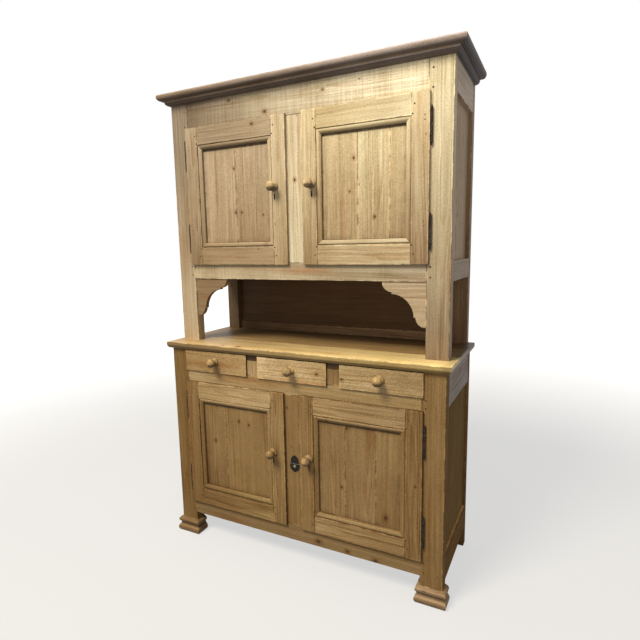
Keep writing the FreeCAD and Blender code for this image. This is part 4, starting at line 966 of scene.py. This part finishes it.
def keyholeTool(name, size):
    x, face, z = keyholePlace(name)
    half, radius, slot = size["keyholeHeight"] / 2, size["keyholeRadius"], size["keyholeWidth"] / 2
    turns = [math.radians(turn) for turn in range(-60, 241, 20)]
    outline = [(x + radius * math.cos(turn), z + half - radius + radius * math.sin(turn)) for turn in turns]
    outline += [(x - slot, z - half), (x + slot, z - half)]
    return addSection([(px, face + size["keyholeFrom"], pz) for px, pz in outline],
                      (0, size["keyholeDepth"], 0))


def buildDoor(name, spec, size):
    tier, hand = name.split("_")
    side = 1 if hand == "right" else -1
    (x0, x1), (z0, z1), face = (doorTiers[tier][key] for key in ("x", "z", "face"))
    stile, rail, moulding = size["stile"], size["rail"], size["moulding"]
    body = name + "_door"

    def upright(outline, edge, inward, low, high):
        return addSection([(side * (edge + inward * across), face + deep, low) for across, deep in outline],
                          (0, 0, high - low))

    def level(outline, edge, inward, low, high):
        return addSection([(side * low, face + deep, edge + inward * across) for across, deep in outline],
                          (side * (high - low), 0, 0))

    parts = []
    for edge, inward, key in ((x0, 1, "lockStile"), (x1, -1, "hingeStile")):
        piece = softenEdges(upright(memberOutline(stile, size), edge, inward, z0, z1), size["rounding"])
        if key == "lockStile":
            cutAway(piece, keyholeTool(name, size))
        parts.append(markGrain(piece, "Z", *spec[key]))
        strip = upright(mouldingOutline(stile, size), edge, inward, z0 + rail, z1 - rail)
        start = side * (edge + inward * stile)
        mitre(strip, (start, face, z0 + rail), (side * inward, 0, -1))
        mitre(strip, (start, face, z1 - rail), (side * inward, 0, 1))
        parts.append(markGrain(strip, "Z", *spec[key], edges=False))
    for edge, inward, key in ((z0, 1, "bottomRail"), (z1, -1, "topRail")):
        piece = softenEdges(level(memberOutline(rail, size), edge, inward, x0 + stile, x1 - stile),
                            size["rounding"])
        tones = spec[key] if side > 0 else spec[key][::-1]
        parts.append(markGrain(piece, "X", *tones))
        strip = level(mouldingOutline(rail, size), edge, inward, x0 + stile, x1 - stile)
        start = edge + inward * rail
        mitre(strip, (side * (x0 + stile), face, start), (-side, 0, inward))
        mitre(strip, (side * (x1 - stile), face, start), (side, 0, inward))
        parts.append(markGrain(strip, "X", *tones, edges=False))
    replaceNode(body + "_frame", parts, tier + "DoorPine", body)

    # the panel shows through its frame from opening to opening and runs on into the grooves
    groove, front = size["groove"], face + size["panelBack"]
    openX = (x0 + stile + moulding, x1 - stile - moulding)
    openZ = (z0 + rail + moulding, z1 - rail - moulding)
    sight = (*openZ, *sorted((side * openX[0], side * openX[1])))
    boards = []
    for edges, tones in zip(spread(openX[0] - groove, openX[1] + groove, spec["joints"]), spec["panels"]):
        low, high = sorted(side * edge for edge in edges)
        knots = [knot for knot in spec["knots"] if low < knot[1] < high]
        boards.append(addBoard((low, high, front, front + size["panelThickness"], openZ[0] - groove,
                                openZ[1] + groove), "Z", *tones, knots=knots, sight=sight,
                               rounding=size["panelRounding"]))
    replaceNode(body + "_panel", boards, "boardPine", body)

    pegs = []
    for share, drift in size["pegRows"]:
        inset = drift - size["pegInset"]
        for z in (z0 + rail * share, z1 - rail * share):
            for x in (x0 + stile + inset, x1 - stile - inset):
                deselectAll()
                bpy.ops.mesh.primitive_cylinder_add(
                    vertices=20, radius=size["pegRadius"], depth=size["pegLength"],
                    location=(side * x, face + frontY + size["pegCentre"], z),
                    rotation=(math.radians(90), 0, 0))
                applyPlace()
                pegs.append(softenEdges(bpy.context.object, size["pegRounding"]))
    finishPiece(body + "_pegs", pegs, "pegPine", body)


for name, spec in doors.items():
    buildDoor(name, spec, door)
print("doors ready")

# Drawer fronts: a lipped plate over the opening, a plug behind it that fills the opening
drawer = {"plateY": (-0.008, 0.000), "plateZ": (0.835, 0.933), "plateRounding": 0.0026,
          "plugY": (0.000, 0.014), "plugZ": (0.845, 0.908), "plugRounding": 0.001}
drawers = {
    "left": {"plate": (-0.568, -0.225), "plug": (-0.559, -0.235), "knots": [],
             "tones": ((142, 115, 75), (172, 144, 103)), "knob": (167, 139, 92)},
    "middle": {"plate": (-0.168, 0.168), "plug": (-0.158, 0.158), "knots": [(0.124, 0.883, 0.0036)],
               "tones": ((197, 172, 133), (174, 149, 108)), "knob": (170, 145, 99)},
    "right": {"plate": (0.225, 0.568), "plug": (0.235, 0.559), "knots": [(0.236, 0.873, 0.0034)],
              "tones": ((173, 150, 111), (154, 129, 92)), "knob": (155, 129, 86)},
}


def buildDrawer(name, spec, size):
    body = name + "_drawer"
    parts = []
    for part, knots in (("plate", spec["knots"]), ("plug", ())):
        place = (*spec[part], *size[part + "Y"], *size[part + "Z"])
        parts.append(addBoard(place, "X", *spec["tones"], knots=knots, rounding=size[part + "Rounding"]))
    replaceNode(body + "_front", parts, "drawerPine", body)


for name, spec in drawers.items():
    buildDrawer(name, spec, drawer)
print("drawer fronts ready")

# Knobs: turned once, then copied to each door and drawer
knob = {"roseRadius": 0.0195, "roseThickness": 0.007, "neckRadius": 0.011, "headRadius": 0.0205,
        "headBack": 0.0215, "shoulder": 0.038, "projection": 0.049, "rim": 0.0015, "sunk": 0.002,
        "steps": 48, "crownSteps": 20, "lineDepths": {12: 0.0004, 11: 0.0009, 10: 0.0004},
        "overKeyhole": 0.041, "drawerHeight": 0.8885}


def knobProfile(size):
    rim, head, neck, rose = size["rim"], size["headRadius"], size["neckRadius"], size["roseRadius"]
    headBack, shoulder, projection = size["headBack"], size["shoulder"], size["projection"]
    thick = size["roseThickness"]
    points = [(0, -size["sunk"]), (rose - rim, -size["sunk"]), (rose - rim, 0)]
    points += arc(points[-1], (rose, thick / 2), (rose - rim, thick), 6)[1:]
    points += arc(points[-1], (neck, headBack - rim), (head - rim, headBack + neck / 2), 12)[1:]
    points += arc(points[-1], (head, (headBack + shoulder + neck / 2) / 2), (head - rim, shoulder), 8)[1:]
    base, rise, steps = head - rim, projection - shoulder, size["crownSteps"]
    radius = (base ** 2 + rise ** 2) / (2 * rise)
    angle = math.asin(base / radius)
    for number in range(steps - 1, -1, -1):  # the crown, with a turned line, in to its middle
        turn = angle * number / steps
        out = projection - radius * (1 - math.cos(turn))
        points.append((radius * math.sin(turn), out - size["lineDepths"].get(number, 0)))
    return points


def addTurned(profile, steps):  # turned about the y axis through the origin
    deselectAll()
    bpy.ops.mesh.primitive_circle_add(vertices=len(profile), radius=0.1)
    piece = bpy.context.object
    for vertex, (radius, out) in zip(piece.data.vertices, profile):
        vertex.co = (radius, -out, 0)
    pickEdges(piece, lambda a, b: a.x < 1e-6 and b.x < 1e-6)
    bpy.ops.mesh.delete(type="EDGE")
    selectMesh("SELECT")
    bpy.ops.mesh.spin(steps=steps, angle=math.radians(360), center=(0, 0, 0), axis=(0, 1, 0))
    selectMesh("SELECT")
    bpy.ops.mesh.remove_doubles(threshold=0.00002)
    bpy.ops.mesh.normals_make_consistent(inside=False)
    objectMode()
    return piece


def buildKnobs(size):
    knobs = {}
    for name, spec in doors.items():
        x, face, z = keyholePlace(name)
        knobs[name + "_door"] = ((x, face + frontY, z + size["overKeyhole"]), spec["knob"])
    for name, spec in drawers.items():
        place = (sum(spec["plate"]) / 2, drawer["plateY"][0] + frontY, size["drawerHeight"])
        knobs[name + "_drawer"] = (place, spec["knob"])
    pattern = addTurned(knobProfile(size), size["steps"])
    for body, (place, tone) in knobs.items():
        piece = pattern.copy()
        piece.data = pattern.data.copy()
        scene.collection.objects.link(piece)
        piece.data.transform(Matrix.Translation(place))
        markGrain(piece, "Y", tone)
        replaceNode(body + "_knob", [piece], "turnedPine", body)
    bpy.data.objects.remove(pattern)


buildKnobs(knob)
print("knobs ready")


# What stays as the frame has it: the pieces inside, the ironwork and the frame's pegs
def dress(finish, *nodes):
    for node in nodes:
        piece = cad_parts[node]
        piece.data.materials.clear()
        piece.data.materials.append(finishes[finish])


dress("insidePineX", "base_floor_boards", "base_shelf", "hutch_floor_boards", "hutch_shelves")
dress("insidePineY", "drawer_runners", *(name + "_drawer_box" for name in drawers))
for name in doors:
    dress("hingeIron", name + "_door_hinge_halves")
    dress("oldIron", name + "_door_lock", name + "_door_lock_bolt")
dress("oldIron", "hinge_post_halves")
dress("plateIron", "muntin_escutcheon")
dress("pegPine", "frame_pegs")
print("ironwork and inside ready")

# Floor, world and lamps
studio = {"floorTone": (128, 126, 123), "floorMottle": (0.19, 0.188, 0.184, 1.0), "mottleShare": 0.15,
          "mottleNoise": (1.5, 1.5, 3.0), "floorRoughness": 0.9, "floorGloss": 0.1, "floorSize": 40,
          "floorLift": 0.60, "whiteFrom": 1.6, "whiteAt": 5.5,
          "world": (246, 243, 238), "worldStrength": 0.37,
          # each lamp: place, what it looks at, width, watts and colour
          "lamps": {"key": ((-1.7, -4.7, 7.06), (0.0, 0.0, 1.1), 3.0, 730, (255, 246, 226)),
                    "fill": ((1.6, -4.6, 1.6), (0.0, 0.0, 1.1), 2.4, 30, (255, 248, 236))}}


def eyeRay(s):  # 1 for what the camera sees, straight or by reflection
    seen = s.node("LightPath")
    return seen.upper(s.other(seen, "Is Glossy Ray")).upper(s.other(seen, "Is Transmission Ray"))


def buildStudio(settings):
    deselectAll()
    bpy.ops.mesh.primitive_plane_add(size=settings["floorSize"], location=(0, 0, 0))
    floor = bpy.context.object
    floor.name = "studioFloor"
    s = Shader("studioFloor")
    place = s.node("TexCoord", output=3)
    x, y, _ = s.split(place)
    far = (x * x + y * y).math("SQRT").step(settings["whiteFrom"], settings["whiteAt"])
    lift = (far * (1 - settings["floorLift"]) + settings["floorLift"]) * eyeRay(s)
    mottle = s.noise(place, *settings["mottleNoise"]) * settings["mottleShare"]
    s.feed("Base Color", s.blend(mottle, opaque(settings["floorTone"]), settings["floorMottle"]))
    s.feed("Roughness", settings["floorRoughness"])
    s.feed("Specular IOR Level", settings["floorGloss"])
    s.feed("Emission Color", s.blend(lift, (0.0, 0.0, 0.0, 1.0), (1.0, 1.0, 1.0, 1.0)))
    s.feed("Emission Strength", 1.0)
    floor.data.materials.append(s.material)

    world = bpy.data.worlds.new("studioWorld")
    s = Shader("studioWorld", world)
    s.feed("Color", opaque(settings["world"]))
    s.feed("Strength", settings["worldStrength"])
    white = s.node("Background", inputs={"Color": (1.0, 1.0, 1.0, 1.0), "Strength": 1.0})
    ambient = Wire(s, s.surface.outputs[0])
    mixed = s.node("MixShader", inputs={0: eyeRay(s), 1: ambient, 2: white})
    s.tree.links.new(mixed.socket, s.tree.nodes["World Output"].inputs[0])
    scene.world = world

    for name, (place, target, size, power, colour) in settings["lamps"].items():
        deselectAll()
        bpy.ops.object.light_add(type="AREA", location=place)
        lamp = bpy.context.object
        lamp.name = name + "Lamp"
        lamp.rotation_euler = (Vector(target) - Vector(place)).to_track_quat("-Z", "Y").to_euler()
        lamp.data.shape = "DISK"
        lamp.data.size = size
        lamp.data.energy = power
        lamp.data.color = linear(colour)
    scene.view_settings.view_transform = "Standard"


buildStudio(studio)
print("studio ready")
